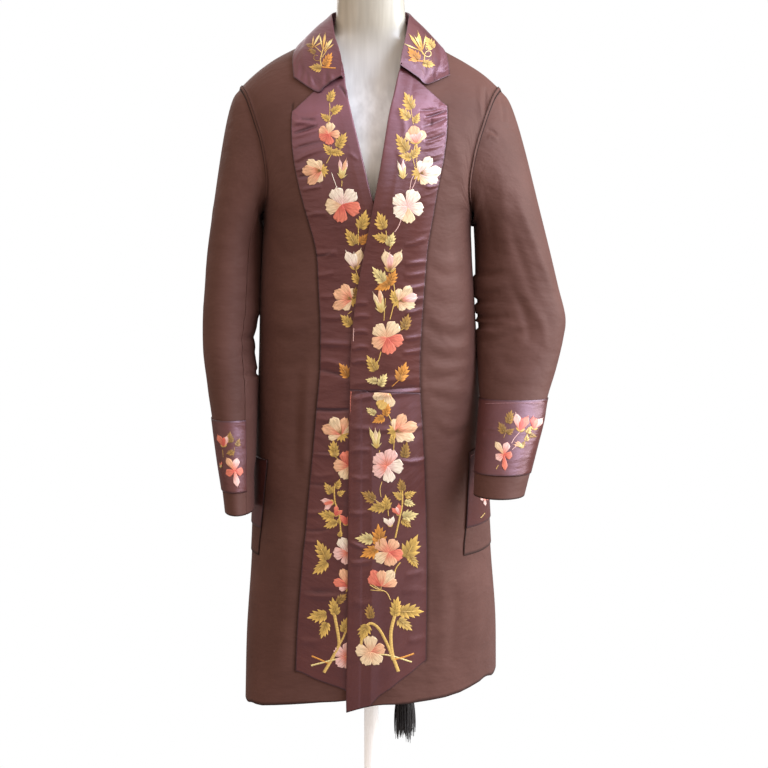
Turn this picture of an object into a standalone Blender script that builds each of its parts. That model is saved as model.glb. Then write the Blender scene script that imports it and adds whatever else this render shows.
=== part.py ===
"""A satin-trimmed smoking jacket that stands on a plain dress form.

Metres, +Z up. The jacket faces -Y and +X is the wearer's left. The origin is
on the floor, under the middle of the form's base.

Every cloth piece is one sheet of a grid, worked out from tables of sections,
with a Solidify modifier that gives it its wall inwards. What is sewn on a
panel takes that panel's own grid points, moved out along its normals.
"""
import math

import bmesh
import bpy
import numpy as np

# Cloth
WALL = 0.0016           # silk faille with its interlining
SATIN = 0.0012          # satin pieces that lie on the faille
SEAM = 0.0003           # gap between two pieces where they are sewn together
SLEEVE_SEAM = 0.0011    # each side of a sleeve seam is drawn in by this
ARMHOLE_GAP = 0.0009    # the sleeve starts this far out from the armhole
LEFT, RIGHT = 1, -1     # the wearer's sides, as signs of X

ARMPIT_Z = 1.110
SHOULDER_Y = 0.012      # the shoulder seam lies this far behind the middle

# Front lap: the left front is lifted clear of the right one, its band included
LAP_LIFT = 0.0046
LAP_FULL_X = 0.020
LAP_END_X = 0.085
LAP_TOP_Z = (1.130, 1.230)

# Body sections, a row for each height. left and right are the half widths,
# side_l and side_r the depth of the widest point, square_l and square_r the
# exponent of the front quarters (2 is an ellipse, more is squarer).
BODY_COLUMNS = ("z", "left", "right", "front", "back", "side_l", "side_r", "square_l", "square_r")
BODY = (
    (0.400, 0.1965, 0.1885, -0.128, 0.190, 0.078, -0.012, 2.00, 3.90),
    (0.500, 0.1935, 0.1865, -0.127, 0.180, 0.062, -0.006, 2.08, 3.30),
    (0.600, 0.1845, 0.1800, -0.126, 0.169, 0.046, -0.002, 2.18, 2.80),
    (0.700, 0.1770, 0.1755, -0.125, 0.157, 0.030, 0.000, 2.25, 2.55),
    (0.800, 0.1680, 0.1715, -0.124, 0.144, 0.020, 0.000, 2.35, 2.45),
    (0.900, 0.1600, 0.1670, -0.122, 0.130, 0.012, 0.001, 2.45, 2.45),
    (1.000, 0.1535, 0.1640, -0.121, 0.121, 0.007, 0.003, 2.50, 2.50),
    (1.060, 0.1495, 0.1610, -0.123, 0.123, 0.005, 0.004, 2.50, 2.50),
    (1.110, 0.1490, 0.1585, -0.126, 0.127, 0.005, 0.005, 2.50, 2.50),
    (1.150, 0.1580, 0.1640, -0.127, 0.130, 0.006, 0.006, 2.50, 2.50),
    (1.190, 0.1720, 0.1750, -0.126, 0.131, 0.008, 0.008, 2.50, 2.50),
    (1.220, 0.1820, 0.1835, -0.124, 0.131, 0.010, 0.010, 2.50, 2.50),
    (1.250, 0.1910, 0.1925, -0.122, 0.130, 0.011, 0.011, 2.50, 2.50),
    (1.300, 0.2050, 0.2060, -0.118, 0.127, 0.012, 0.012, 2.50, 2.50),
    (1.420, 0.2100, 0.2100, -0.108, 0.118, 0.012, 0.012, 2.50, 2.50),
)

# Top of the shoulder, seen from the front
SHOULDER_COLUMNS = ("x", "left", "right")
SHOULDER = (
    (0.000, 1.4080, 1.4080),
    (0.030, 1.3990, 1.3995),
    (0.050, 1.3885, 1.3900),
    (0.072, 1.3760, 1.3785),
    (0.090, 1.3648, 1.3685),
    (0.110, 1.3530, 1.3582),
    (0.141, 1.3360, 1.3420),
    (0.170, 1.3168, 1.3212),
    (0.187, 1.3015, 1.3055),
    (0.195, 1.2930, 1.2965),
    (0.215, 1.2640, 1.2680),
)
NECK_X = 0.072          # the shoulder seam starts here, at the neck
TIP_X = 0.1945          # and ends here, at the sleeve
TRIM_TOP_X = 0.106      # the satin's outer edge is this far out below the shoulder

# Rows of the front panels. front, satin and side are the heights of a row at
# the front edge, at the satin's outer edge and at the side seam; edge and trim
# are the X of the front edge and of the satin's outer edge on the wearer's
# side. The hem is row 0.
FRONT_COLUMNS = ("front", "satin", "side", "edge", "trim")
LEFT_ROWS = (
    (0.4020, 0.4135, 0.4120, -0.0350, 0.0800),
    (0.3930, 0.4720, 0.4660, -0.0348, 0.0800),
    (0.5300, 0.5300, 0.5300, -0.0322, 0.0806),
    (0.6190, 0.6190, 0.6190, -0.0312, 0.0808),
    (0.6600, 0.6600, 0.6600, -0.0311, 0.0802),
    (0.7100, 0.7100, 0.7100, -0.0305, 0.0790),
    (0.7610, 0.7610, 0.7740, -0.0297, 0.0772),
    (0.8140, 0.8120, 0.8160, -0.0292, 0.0740),
    (0.8680, 0.8620, 0.8620, -0.0288, 0.0708),
    (0.9120, 0.9080, 0.9080, -0.0272, 0.0702),
    (0.9550, 0.9550, 0.9550, -0.0242, 0.0724),
    (1.0100, 1.0100, 1.0100, -0.0165, 0.0760),
    (1.0620, 1.0620, 1.0620, -0.0068, 0.0800),
    (1.1100, 1.1100, 1.1100, 0.0028, 0.0878),
)
RIGHT_ROWS = (
    (0.4125, 0.4090, 0.4010, -0.0120, 0.1090),
    (0.4148, 0.4600, 0.4540, -0.0120, 0.1079),
    (0.5300, 0.5300, 0.5300, -0.0120, 0.1046),
    (0.6190, 0.6190, 0.6190, -0.0120, 0.0975),
    (0.6600, 0.6600, 0.6600, -0.0120, 0.0928),
    (0.7100, 0.7100, 0.7100, -0.0120, 0.0885),
    (0.7610, 0.7610, 0.7610, -0.0120, 0.0834),
    (0.8030, 0.8030, 0.8030, -0.0120, 0.0794),
    (0.8400, 0.8400, 0.8400, -0.0120, 0.0762),
    (0.9000, 0.9000, 0.9000, -0.0120, 0.0708),
    (0.9550, 0.9550, 0.9550, -0.0120, 0.0702),
    (1.0100, 1.0100, 1.0100, -0.0120, 0.0726),
    (1.0620, 1.0620, 1.0620, -0.0118, 0.0756),
    (1.1100, 1.1100, 1.1100, -0.0096, 0.0880),
)
POINT_ROW, POCKET_LOW, POCKET_BAND, POCKET_TOP, WAIST_ROW, ARMPIT_ROW = 1, 3, 4, 6, 8, 13
POINT_HEM = 0.0012      # the satin's foot stays this far above the hem

# Rows above the armpit: how far up each one is, as a share of the way to the
# shoulder, at the front edge, the satin's outer edge and the armhole; the
# armhole's X there as a share of the section's half width, front and back.
YOKE_COLUMNS = ("front", "trim", "arm", "arm_front", "arm_back")
YOKE = (
    (0.100, 0.085, 0.055, 0.975, 0.985),
    (0.210, 0.180, 0.130, 0.925, 0.950),
    (0.350, 0.300, 0.240, 0.885, 0.925),
    (0.490, 0.420, 0.370, 0.862, 0.912),
    (0.625, 0.535, 0.500, 0.858, 0.908),
    (0.756, 0.640, 0.620, 0.868, 0.910),
    (0.860, 0.770, 0.745, 0.880, 0.914),
    (0.930, 0.880, 0.860, 0.896, 0.920),
    (0.972, 0.955, 0.945, 0.918, 0.930),
    (0.997, 0.996, 0.995, 0.938, 0.940),
    (1.000, 1.000, 1.000, 0.000, 0.000),
)
GORGE_ROW = ARMPIT_ROW + 6
TOP_ROW = ARMPIT_ROW + len(YOKE)

# Roll line and neckline of each front, and its satin's outer edge, above the armpit
NECK_COLUMNS = ("z", "left_edge", "left_trim", "right_edge", "right_trim")
NECK = (
    (1.090, -0.0020, 0.0840, -0.0105, 0.0824),
    (1.110, 0.0028, 0.0876, -0.0078, 0.0880),
    (1.150, 0.0110, 0.0948, 0.0030, 0.0990),
    (1.190, 0.0188, 0.1028, 0.0132, 0.1068),
    (1.230, 0.0252, 0.1074, 0.0236, 0.1104),
    (1.265, 0.0330, 0.1084, 0.0322, 0.1097),
    (1.300, 0.0415, 0.1080, 0.0385, 0.1086),
    (1.322, 0.0455, 0.1070, 0.0408, 0.1070),
    (1.345, 0.0560, 0.1050, 0.0530, 0.1050),
    (1.365, 0.0660, 0.1030, 0.0650, 0.1030),
    (1.3765, 0.0720, 0.1020, 0.0720, 0.1020),
)

# Grid columns
TRIM_COLUMNS = 5        # across the satin
PANEL_COLUMNS = 3       # from the satin to the pocket
POCKET_COLUMNS = 4      # across the pocket, then one more to the side seam
POCKET_START = {LEFT: (46.0, 54.0), RIGHT: (62.0, 55.0)}    # degrees round, at its foot and its top
POCKET_END = {LEFT: 84.0, RIGHT: 85.0}
BACK_NECK_COLUMNS = 3
BACK_COLUMNS = 7
BACK_NECK_Z = 1.372

# Sleeve sections. x_in and x_out are the edges seen from the front, measured
# to the wearer's side; mid and deep are the middle and half of its depth.
# Rows above SLEEVE_TOP_Z only steer the cap.
SLEEVE_COLUMNS = ("z", "x_in", "x_out", "mid", "deep")
SLEEVE_LEFT = (
    (0.7180, 0.1468, 0.2190, -0.1240, 0.0440),
    (0.7490, 0.1490, 0.2285, -0.1100, 0.0445),
    (0.7840, 0.1527, 0.2395, -0.0930, 0.0450),
    (0.8170, 0.1560, 0.2500, -0.0760, 0.0450),
    (0.8500, 0.1590, 0.2575, -0.0600, 0.0450),
    (0.8900, 0.1600, 0.2720, -0.0400, 0.0460),
    (0.9330, 0.1595, 0.2840, -0.0240, 0.0470),
    (0.9650, 0.1580, 0.2880, -0.0150, 0.0490),
    (1.0100, 0.1560, 0.2775, -0.0080, 0.0520),
    (1.0600, 0.1540, 0.2655, -0.0040, 0.0560),
    (1.1500, 0.1500, 0.2420, 0.0020, 0.0620),
    (1.2500, 0.1450, 0.2180, 0.0080, 0.0640),
)
SLEEVE_RIGHT = (
    (0.6910, 0.1680, 0.2095, -0.0960, 0.0530),
    (0.7230, 0.1685, 0.2140, -0.0890, 0.0535),
    (0.7560, 0.1695, 0.2200, -0.0810, 0.0540),
    (0.7890, 0.1710, 0.2255, -0.0720, 0.0545),
    (0.8220, 0.1725, 0.2305, -0.0630, 0.0550),
    (0.8700, 0.1745, 0.2385, -0.0500, 0.0560),
    (0.9200, 0.1745, 0.2455, -0.0380, 0.0580),
    (0.9650, 0.1730, 0.2465, -0.0280, 0.0600),
    (1.0100, 0.1705, 0.2440, -0.0200, 0.0620),
    (1.0600, 0.1670, 0.2405, -0.0130, 0.0640),
    (1.1500, 0.1600, 0.2290, -0.0020, 0.0680),
    (1.2500, 0.1500, 0.2120, 0.0080, 0.0680),
)
SLEEVE_TOP_Z = 1.061    # the cap starts at the last section below this
CAP_ROWS = 6            # rings from there up to the armhole
CAP_PULL = 0.45         # share of the rise over which the cap keeps the sections' line
CAP_REACH = (0.006, 0.019)      # how far the cap swells out at the armpit and at the shoulder
CAP_SINK = (0.002, 0.007)       # and how far that swell hangs below the seam
CUFF_LOW, CUFF_TOP = 1, 4       # the cuff patch lies between these sections
SLEEVE_SEAMS = {LEFT: (11, 18), RIGHT: (9, 17)}     # ring points of the front and back seams

# Collar ribs from the gorge to the centre back. seam is the share of the way
# along the neckline; roll is the fold; the outer edge lies over the shoulder
# at edge_x and edge_over degrees, 90 on the shoulder seam and more behind it.
COLLAR_COLUMNS = ("seam", "roll_x", "roll_y", "roll_z", "edge_x", "edge_over")
COLLAR_RIBS = (
    (0.00, 0.0440, -0.0775, 1.3290, 0.1100, 55.0),
    (0.17, 0.0470, -0.0640, 1.3470, 0.1105, 64.0),
    (0.34, 0.0515, -0.0440, 1.3720, 0.1080, 73.0),
    (0.47, 0.0550, -0.0160, 1.3960, 0.1010, 84.0),
    (0.60, 0.0565, 0.0120, 1.4080, 0.0900, 97.0),
    (0.74, 0.0505, 0.0380, 1.4150, 0.0710, 111.0),
    (0.87, 0.0300, 0.0560, 1.4190, 0.0390, 121.0),
    (1.00, 0.0000, 0.0620, 1.4200, 0.0000, 125.5),
)
COLLAR_LIFT = 0.0038    # the fall's edge above the cloth that it lies on
COLLAR_SWELL = 0.0036   # how far the fall rounds out between roll and edge
NOTCH = {LEFT: (0.0800, 1.3020), RIGHT: (0.0745, 1.2905)}       # x and z where collar and lapel part
COLLAR_TIP = {LEFT: (0.1120, 1.3110), RIGHT: (0.1075, 1.3070)}

BACK_SQUARE = 2.4               # exponent of the back quarters

# Soft flutes of the back's skirt, two on each side
FLUTE = 0.0050
FLUTE_Z = (0.480, 0.860)        # full below the first height, gone above the second

# Dress form: half widths and depths of its sections
FORM_COLUMNS = ("z", "half", "front", "back")
FORM = (
    (0.720, 0.140, -0.088, 0.100),
    (0.760, 0.146, -0.092, 0.106),
    (0.820, 0.142, -0.092, 0.104),
    (0.900, 0.126, -0.088, 0.092),
    (0.980, 0.118, -0.086, 0.086),
    (1.060, 0.126, -0.094, 0.090),
    (1.120, 0.134, -0.102, 0.096),
    (1.180, 0.146, -0.104, 0.102),
    (1.230, 0.163, -0.080, 0.096),
    (1.270, 0.175, -0.056, 0.076),
    (1.2970, 0.1842, -0.038, 0.060),
    (1.3190, 0.1616, -0.036, 0.060),
    (1.3371, 0.1332, -0.034, 0.058),
    (1.3530, 0.1045, -0.033, 0.055),
    (1.3654, 0.0780, -0.034, 0.052),
    (1.3718, 0.0640, -0.036, 0.052),
    (1.380, 0.0570, -0.040, 0.053),
    (1.395, 0.0520, -0.042, 0.052),
    (1.420, 0.0495, -0.044, 0.050),
    (1.452, 0.0490, -0.046, 0.048),
)
FORM_SIDES = 26
FORM_ROUND = 0.92       # under 1 squares a section a little
POLE_RADIUS = 0.011
BASE_RADIUS = 0.165
BASE_THICK = 0.022
BASE_PROFILE = (        # radius and height, from the middle of the top to the middle of the underside
    (0.0, BASE_THICK),
    (0.030, BASE_THICK),
    (BASE_RADIUS - 0.012, 0.012),
    (BASE_RADIUS - 0.003, 0.009),
    (BASE_RADIUS, 0.005),
    (BASE_RADIUS - 0.001, 0.0),
    (0.0, 0.0),
)
BASE_STEPS = 40

# Belt: a cord through a loop at the back of the waist, with a tassel
CORD_RADIUS = 0.0035
CORD_COLUMNS = ("x", "z", "out")
CORD_ROUTE = (          # from the knot through the loop and down; out is the axis above the cloth
    (0.0150, 0.9110, 0.0046),
    (0.0280, 0.9112, 0.0046),
    (0.0400, 0.9085, 0.0046),
    (0.0490, 0.9010, 0.0046),
    (0.0532, 0.8900, 0.0046),
    (0.0540, 0.8700, 0.0046),
    (0.0541, 0.8000, 0.0044),
    (0.0543, 0.7000, 0.0044),
    (0.0544, 0.6000, 0.0044),
    (0.0542, 0.5000, 0.0044),
    (0.0540, 0.4250, 0.0044),
    (0.0540, 0.3645, 0.0052),
)
CORD_POINTS = 44
KNOT_RADIUS = 0.0085
TASSEL_TOP_Z = 0.3640
TASSEL_LENGTH = 0.128
TASSEL_HEAD_LENGTH = 0.030
TASSEL_HEAD = (         # radius, height below the top
    (0.0040, 0.0),
    (0.0075, -0.0035),
    (0.0095, -0.0085),
    (0.0092, -0.0135),
    (0.0062, -0.0175),
    (0.0078, -0.0200),
    (0.0098, -0.0245),
    (0.0108, -TASSEL_HEAD_LENGTH),
)
TASSEL_ROOTS = (0.0082, 0.0056, 0.0028)     # radii of the rings that the strands hang from
TASSEL_SIDES = 12
TASSEL_SPREAD = ((0.35, 1.12), (0.65, 1.30))    # share of the length, flare, for each step of a strand
LOOP_WIDTH = 0.012
LOOP_X = 0.0300
LOOP_Z = (0.884, 0.938)
LOOP_RISE = 0.0092      # how far the loop stands off the back

PASSES = 6              # rounds that settle an X whose height depends on it


def column(rows, names, wanted, at):
    """One named column of a table at the values `at` of its first column.

    Cubic spans whose end slopes are the table's own gradient, level beyond its ends.
    """
    table = np.array(rows, float)
    x, y = table[:, 0], table[:, names.index(wanted)]
    slope = np.gradient(y, x)
    at = np.asarray(at, float)
    i = np.clip(np.searchsorted(x, at) - 1, 0, len(x) - 2)
    span = x[i + 1] - x[i]
    f = np.clip((at - x[i]) / span, 0.0, 1.0)
    return ((2 * f**3 - 3 * f**2 + 1) * y[i] + (f**3 - 2 * f**2 + f) * span * slope[i]
            + (3 * f**2 - 2 * f**3) * y[i + 1] + (f**3 - f**2) * span * slope[i + 1])


def body(name, z):
    return column(BODY, BODY_COLUMNS, name, z)


def by_name(rows, names):
    """The columns of a table, each under its name."""
    return dict(zip(names, np.array(rows, float).T))


def word(side):
    return "left" if side == LEFT else "right"


def shoulder_z(side, x):
    """Height of the shoulder seam at a distance x from the middle."""
    return column(SHOULDER, SHOULDER_COLUMNS, word(side), np.abs(x))


def smooth_step(low, high, value):
    f = np.clip((value - low) / (high - low), 0.0, 1.0)
    return f * f * (3 - 2 * f)


def half_width(side, z):
    return body(word(side), z)


def squareness(side, face, z):
    if face == "back":
        return np.full(np.shape(z), BACK_SQUARE)
    return body("square_l" if side == LEFT else "square_r", z)


def lap_lift(side, x, z):
    """How far the left front stands proud where it laps over the right one."""
    if side == RIGHT:
        return np.zeros(np.shape(x))
    across = 1 - smooth_step(LAP_FULL_X, LAP_END_X, x)
    return LAP_LIFT * across * (1 - smooth_step(*LAP_TOP_Z, z))


def section_depth(side, face, x, z):
    """Y of a quarter section at x: a superellipse from the middle to the widest point."""
    power = squareness(side, face, z)
    share = np.clip(np.abs(x) / half_width(side, z), 0.0, 1.0)
    widest = body("side_l" if side == LEFT else "side_r", z)
    y = widest + (body(face, z) - widest) * (1 - share**power) ** (1 / power)
    if face == "back":
        y = y + FLUTE * np.sin(3 * math.pi * share) * (1 - smooth_step(*FLUTE_Z, z))
    return y


def height(side, x, up):
    """Z at a share `up` of the way from the armpit to the shoulder seam."""
    return ARMPIT_Z + (shoulder_z(side, x) - ARMPIT_Z) * up


def depth(side, face, x, z):
    """Y of the body's outer surface at x (to the wearer's side) and height z.

    Past the middle, where x is negative, the other side's section holds.
    Above the armpit the depth closes on the shoulder seam as a quarter of an
    ellipse in height.
    """
    y = np.where(x >= 0, section_depth(side, face, x, z), section_depth(-side, face, x, z))
    up = np.clip((z - ARMPIT_Z) / (shoulder_z(side, x) - ARMPIT_Z), 0.0, 1.0)
    y = SHOULDER_Y + (y - SHOULDER_Y) * np.sqrt(1 - up**2)
    if face == "front":
        y = y - lap_lift(side, x, z)
    return y


def over_shoulder(side, x, degrees, lift):
    """A point over the shoulder: 0 at armpit height in front, 90 on the seam, 180 behind."""
    def at(x_at, turn):
        face = "front" if turn <= 90 else "back"
        z = float(height(side, x_at, math.sin(math.radians(turn))))
        section = float(section_depth(side, face, x_at, z))
        return np.array([x_at, SHOULDER_Y + (section - SHOULDER_Y) * abs(math.cos(math.radians(turn))), z])

    normal = np.cross(at(x + 0.002, degrees) - at(x, degrees), at(x, degrees + 1) - at(x, degrees))
    place = at(x, degrees) + normal / np.linalg.norm(normal) * lift
    return place * np.array([side, 1.0, 1.0])


def round_x(side, face, degrees, z):
    """X at an angle round the quarter section: 0 is the middle, 90 the side."""
    return half_width(side, z) * np.sin(np.radians(degrees)) ** (2 / squareness(side, face, z))


def angle_of(side, face, x, z):
    share = np.clip(x / half_width(side, z), 0.0, 1.0)
    return np.degrees(np.arcsin(share ** (squareness(side, face, z) / 2)))


def points(side, face, x, z):
    """World points of the body surface; x is to the wearer's side."""
    return np.stack([side * x, depth(side, face, x, z), z], -1)


def armhole_x(side, share, up):
    """X of the armhole at a share `up` of the way to the shoulder."""
    x = np.full(np.shape(up), TIP_X)
    for _ in range(PASSES):
        x = half_width(side, height(side, x, up)) * share
    return x


def front_panel(side):
    """Grid of the front, rows from the hem up and columns from the front edge to the side."""
    low = by_name(LEFT_ROWS if side == LEFT else RIGHT_ROWS, FRONT_COLUMNS)
    yoke = by_name(YOKE, YOKE_COLUMNS)
    first = len(low["edge"])

    # The satin's columns, from the front edge to its outer edge
    across = np.linspace(0, 1, TRIM_COLUMNS + 1)
    edge_z = height(side, NECK_X, yoke["front"])
    trim_z = height(side, TRIM_TOP_X, yoke["trim"])
    edge = np.concatenate([low["edge"], column(NECK, NECK_COLUMNS, word(side) + "_edge", edge_z)])
    trim = np.concatenate([low["trim"], column(NECK, NECK_COLUMNS, word(side) + "_trim", trim_z)])
    satin_x = edge[:, None] + (trim - edge)[:, None] * across
    low_z = low["front"][:, None] + (low["satin"] - low["front"])[:, None] * across
    low_z[0] = low["satin"][0] + (low["front"][0] - low["satin"][0]) * (1 - across) ** 3
    low_z[POINT_ROW] = np.maximum(low_z[POINT_ROW], low_z[0] + POINT_HEM)
    up = yoke["front"][:, None] + (yoke["trim"] - yoke["front"])[:, None] * across
    satin_z = np.concatenate([low_z, height(side, satin_x[first:], up)])

    # From the satin's edge round to the side seam
    steps = np.linspace(0, 1, PANEL_COLUMNS + 1)[1:]
    pocket_steps = np.linspace(0, 1, POCKET_COLUMNS + 1)[1:]
    foot, top = POCKET_START[side]
    pocket = np.interp(low["side"], low["side"][[POCKET_LOW, POCKET_TOP]], [foot, top])
    start = angle_of(side, "front", low["trim"], low["satin"])
    angles = np.concatenate([
        start[:, None] + (pocket - start)[:, None] * steps,
        pocket[:, None] + (POCKET_END[side] - pocket)[:, None] * pocket_steps,
        np.full((first, 1), 90.0)], axis=1)
    blend = np.minimum(np.linspace(0, 2, angles.shape[1] + 1)[1:], 1.0)
    side_z = low["satin"][:, None] + (low["side"] - low["satin"])[:, None] * blend
    side_x = round_x(side, "front", angles, side_z)

    # The same columns above the armpit, on to the armhole
    arm_x = armhole_x(side, yoke["arm_front"], yoke["arm"])
    arm_x[-1] = TIP_X
    spread = (angles[-1] - start[-1]) / (90.0 - start[-1])
    trim_angle = angle_of(side, "front", trim[first:], satin_z[first:, -1])
    arm_angle = angle_of(side, "front", arm_x, height(side, arm_x, yoke["arm"]))
    yoke_angle = trim_angle[:, None] + (arm_angle - trim_angle)[:, None] * spread
    up = yoke["trim"][:, None] + (yoke["arm"] - yoke["trim"])[:, None] * spread
    yoke_x = np.tile(arm_x[:, None], (1, len(spread)))
    for _ in range(PASSES):
        yoke_x = round_x(side, "front", yoke_angle, height(side, yoke_x, up))
    x = np.concatenate([satin_x, np.concatenate([side_x, yoke_x])], axis=1)
    z = np.concatenate([satin_z, np.concatenate([side_z, height(side, yoke_x, up)])], axis=1)
    grid = points(side, "front", x, z)
    grid[:, -1, 1] -= SEAM
    grid[-1, :, 1] = SHOULDER_Y - SEAM
    return grid


def back_panel(side):
    """Grid of the back, columns from the centre seam to the side, rows as the front's."""
    low_z = by_name(LEFT_ROWS if side == LEFT else RIGHT_ROWS, FRONT_COLUMNS)["side"]
    yoke = by_name(YOKE, YOKE_COLUMNS)
    angles = np.linspace(0, 90, BACK_NECK_COLUMNS + BACK_COLUMNS + 1)
    z = np.tile(low_z[:, None], (1, len(angles)))
    x = round_x(side, "back", angles, z)

    # Above the armpit: the top row is the neckline and the shoulder seam
    arm_x = armhole_x(side, yoke["arm_back"], yoke["arm"])
    arm_x[-1] = TIP_X
    neck = np.linspace(0, 1, BACK_NECK_COLUMNS + 1)
    top_x = np.concatenate([NECK_X * neck, np.linspace(NECK_X, TIP_X, BACK_COLUMNS + 1)[1:]])
    neck_z = BACK_NECK_Z + (shoulder_z(side, NECK_X) - BACK_NECK_Z) * neck**2
    top_up = np.ones(len(angles))
    top_up[:len(neck)] = (neck_z - ARMPIT_Z) / (shoulder_z(side, NECK_X * neck) - ARMPIT_Z)
    fan = yoke["arm"][:, None]
    yoke_x = arm_x[:, None] * (x[-1] / x[-1, -1] * (1 - fan) + top_x / TIP_X * fan)
    x = np.concatenate([x, yoke_x])
    z = np.concatenate([z, height(side, yoke_x, fan * top_up)])
    grid = points(side, "back", x, z)
    grid[:, 0, 0] += side * SEAM * (0.6 + 0.8 * smooth_step(ARMPIT_Z, BACK_NECK_Z, grid[:, 0, 2]))
    grid[:, -1, 1] += SEAM
    grid[-1, BACK_NECK_COLUMNS:, 1] = SHOULDER_Y + SEAM
    return grid


def grid_normals(grid, outward):
    """Unit normals of a grid, turned to the side of the vector `outward`."""
    down, along = np.gradient(grid, axis=0), np.gradient(grid, axis=1)
    normal = np.cross(along, down)
    normal /= np.maximum(np.linalg.norm(normal, axis=-1, keepdims=True), 1e-12)
    if (normal * outward).sum() < 0:
        normal = -normal
    return normal


def moved_out(grid, outward, distance):
    return grid + grid_normals(grid, outward) * distance


def material(name, colour, roughness, metallic=0.0, sheen=0.0):
    made = bpy.data.materials.new(name)
    made.use_nodes = True
    shader = made.node_tree.nodes["Principled BSDF"]
    shader.inputs["Base Color"].default_value = (*colour, 1.0)
    shader.inputs["Roughness"].default_value = roughness
    shader.inputs["Metallic"].default_value = metallic
    shader.inputs["Sheen Weight"].default_value = sheen
    made.diffuse_color = (*colour, 1.0)
    return made


def collection(name):
    made = bpy.data.collections.new(name)
    bpy.context.scene.collection.children.link(made)
    return made


def add_object(name, mesh, look, into):
    mesh.materials.append(look)
    made = bpy.data.objects.new(name, mesh)
    into.objects.link(made)
    return made


def sheet(name, grid, outward, wall, look, into):
    """A cloth piece: the grid is its outer face, Solidify gives its wall inwards."""
    rows, columns = grid.shape[:2]
    number = np.arange(rows * columns).reshape(rows, columns)
    a, b = number[:-1, :-1], number[:-1, 1:]
    c, d = number[1:, 1:], number[1:, :-1]
    faces = np.stack([a, b, c, d], -1).reshape(-1, 4)
    first = grid.reshape(-1, 3)[faces[len(faces) // 2]]
    normal = np.cross(first[2] - first[0], first[3] - first[1])
    middle = grid_normals(grid, outward).reshape(-1, 3)[faces[len(faces) // 2][0]]
    if np.dot(normal, middle) < 0:
        faces = faces[:, ::-1]
    mesh = bpy.data.meshes.new(name)
    mesh.from_pydata(grid.reshape(-1, 3).tolist(), [], faces.tolist())
    mesh.shade_smooth()
    made = add_object(name, mesh, look, into)
    solid = made.modifiers.new("Wall", "SOLIDIFY")
    solid.thickness = wall
    solid.offset = -1.0
    return made


def clear_scene():
    for thing in list(bpy.data.objects):
        bpy.data.objects.remove(thing, do_unlink=True)


def make_fronts(looks, parts):
    """Both fronts with their lapels, bands and pockets; returns the panels' grids."""
    grids = {}
    for side in (LEFT, RIGHT):
        grid = front_panel(side)
        grids[side] = grid
        outward = np.array([0.0, -1.0, 0.0])
        sheet("front_" + word(side), grid, outward, WALL, looks["faille"], parts)
        satin = grid_normals(grid, outward) * (SEAM + SATIN) + grid
        trim = TRIM_COLUMNS + 1
        sheet("lapel_" + word(side), seam_below(satin[WAIST_ROW:GORGE_ROW + 1, :trim]), outward, SATIN,
              looks["satin"], parts)
        sheet("band_" + word(side), satin[POINT_ROW:WAIST_ROW + 1, :trim], outward, SATIN,
              looks["satin"], parts)
        start = TRIM_COLUMNS + PANEL_COLUMNS
        block = slice(start, start + POCKET_COLUMNS + 1)
        aside = np.array([float(side), -0.6, 0.0])
        patch = satin[POCKET_LOW:POCKET_TOP + 1, block]
        sheet("pocket_" + word(side), patch, aside, SATIN, looks["faille"], parts)
        upper = moved_out(satin, outward, SEAM + SATIN)[POCKET_BAND:POCKET_TOP + 1, block]
        sheet("pocket_satin_" + word(side), upper, aside, SATIN, looks["satin"], parts)
    return grids


def seam_below(grid):
    """Shorten a grid's lowest row by the seam's gap."""
    moved = grid.copy()
    step = grid[1] - grid[0]
    moved[0] += step / np.linalg.norm(step, axis=-1, keepdims=True) * SEAM
    return moved


def make_backs(looks, parts):
    grids = {}
    for side in (LEFT, RIGHT):
        grid = back_panel(side)
        grids[side] = grid
        sheet("back_" + word(side), grid, np.array([0.0, 1.0, 0.0]), WALL, looks["faille"], parts)
    return grids


def armhole_ring(side, front, back):
    """Closed ring round the armhole: from the shoulder down the front, up the back."""
    gaps = {}
    for name, grid in (("front", front), ("back", back)):
        edge, inner = grid[ARMPIT_ROW:, -1], grid[ARMPIT_ROW:, -2]
        tangent = edge - inner
        tangent /= np.linalg.norm(tangent, axis=-1, keepdims=True)
        gaps[name] = edge + tangent * SEAM * 2 + np.array([side * ARMHOLE_GAP, 0.0, 0.0])
    shoulder = (gaps["front"][-1] + gaps["back"][-1]) / 2
    armpit = (gaps["front"][0] + gaps["back"][0]) / 2 + np.array([side * SEAM, 0.0, 0.0])
    down = gaps["front"][-2:0:-1]
    rise = gaps["back"][1:-1]
    return np.concatenate([[shoulder], down, [armpit], rise])


def ring_angles(ring):
    """Angle of each ring point, 0 outer, 180 inner, by its distance along each half."""
    half = len(ring) // 2
    loop = np.concatenate([ring, ring[:1]])
    step = np.linalg.norm(np.diff(loop, axis=0), axis=1)
    front = np.concatenate([[0], np.cumsum(step[:half])])
    back = np.concatenate([[0], np.cumsum(step[half:])])
    return np.concatenate([180 * front[:-1] / front[-1], 180 + 180 * back[:-1] / back[-1]])


def sleeve_section(side, table, angles, z):
    """Ring of the sleeve at height z: an ellipse between its two seen edges."""
    x_in, x_out, mid, deep = (column(table, SLEEVE_COLUMNS, name, z) for name in SLEEVE_COLUMNS[1:])
    turn = np.radians(angles)
    x = (x_in + x_out) / 2 + (x_out - x_in) / 2 * np.cos(turn)
    y = mid - deep * np.sin(turn)
    return np.stack([side * x, y, np.broadcast_to(z, x.shape)], -1)


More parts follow.
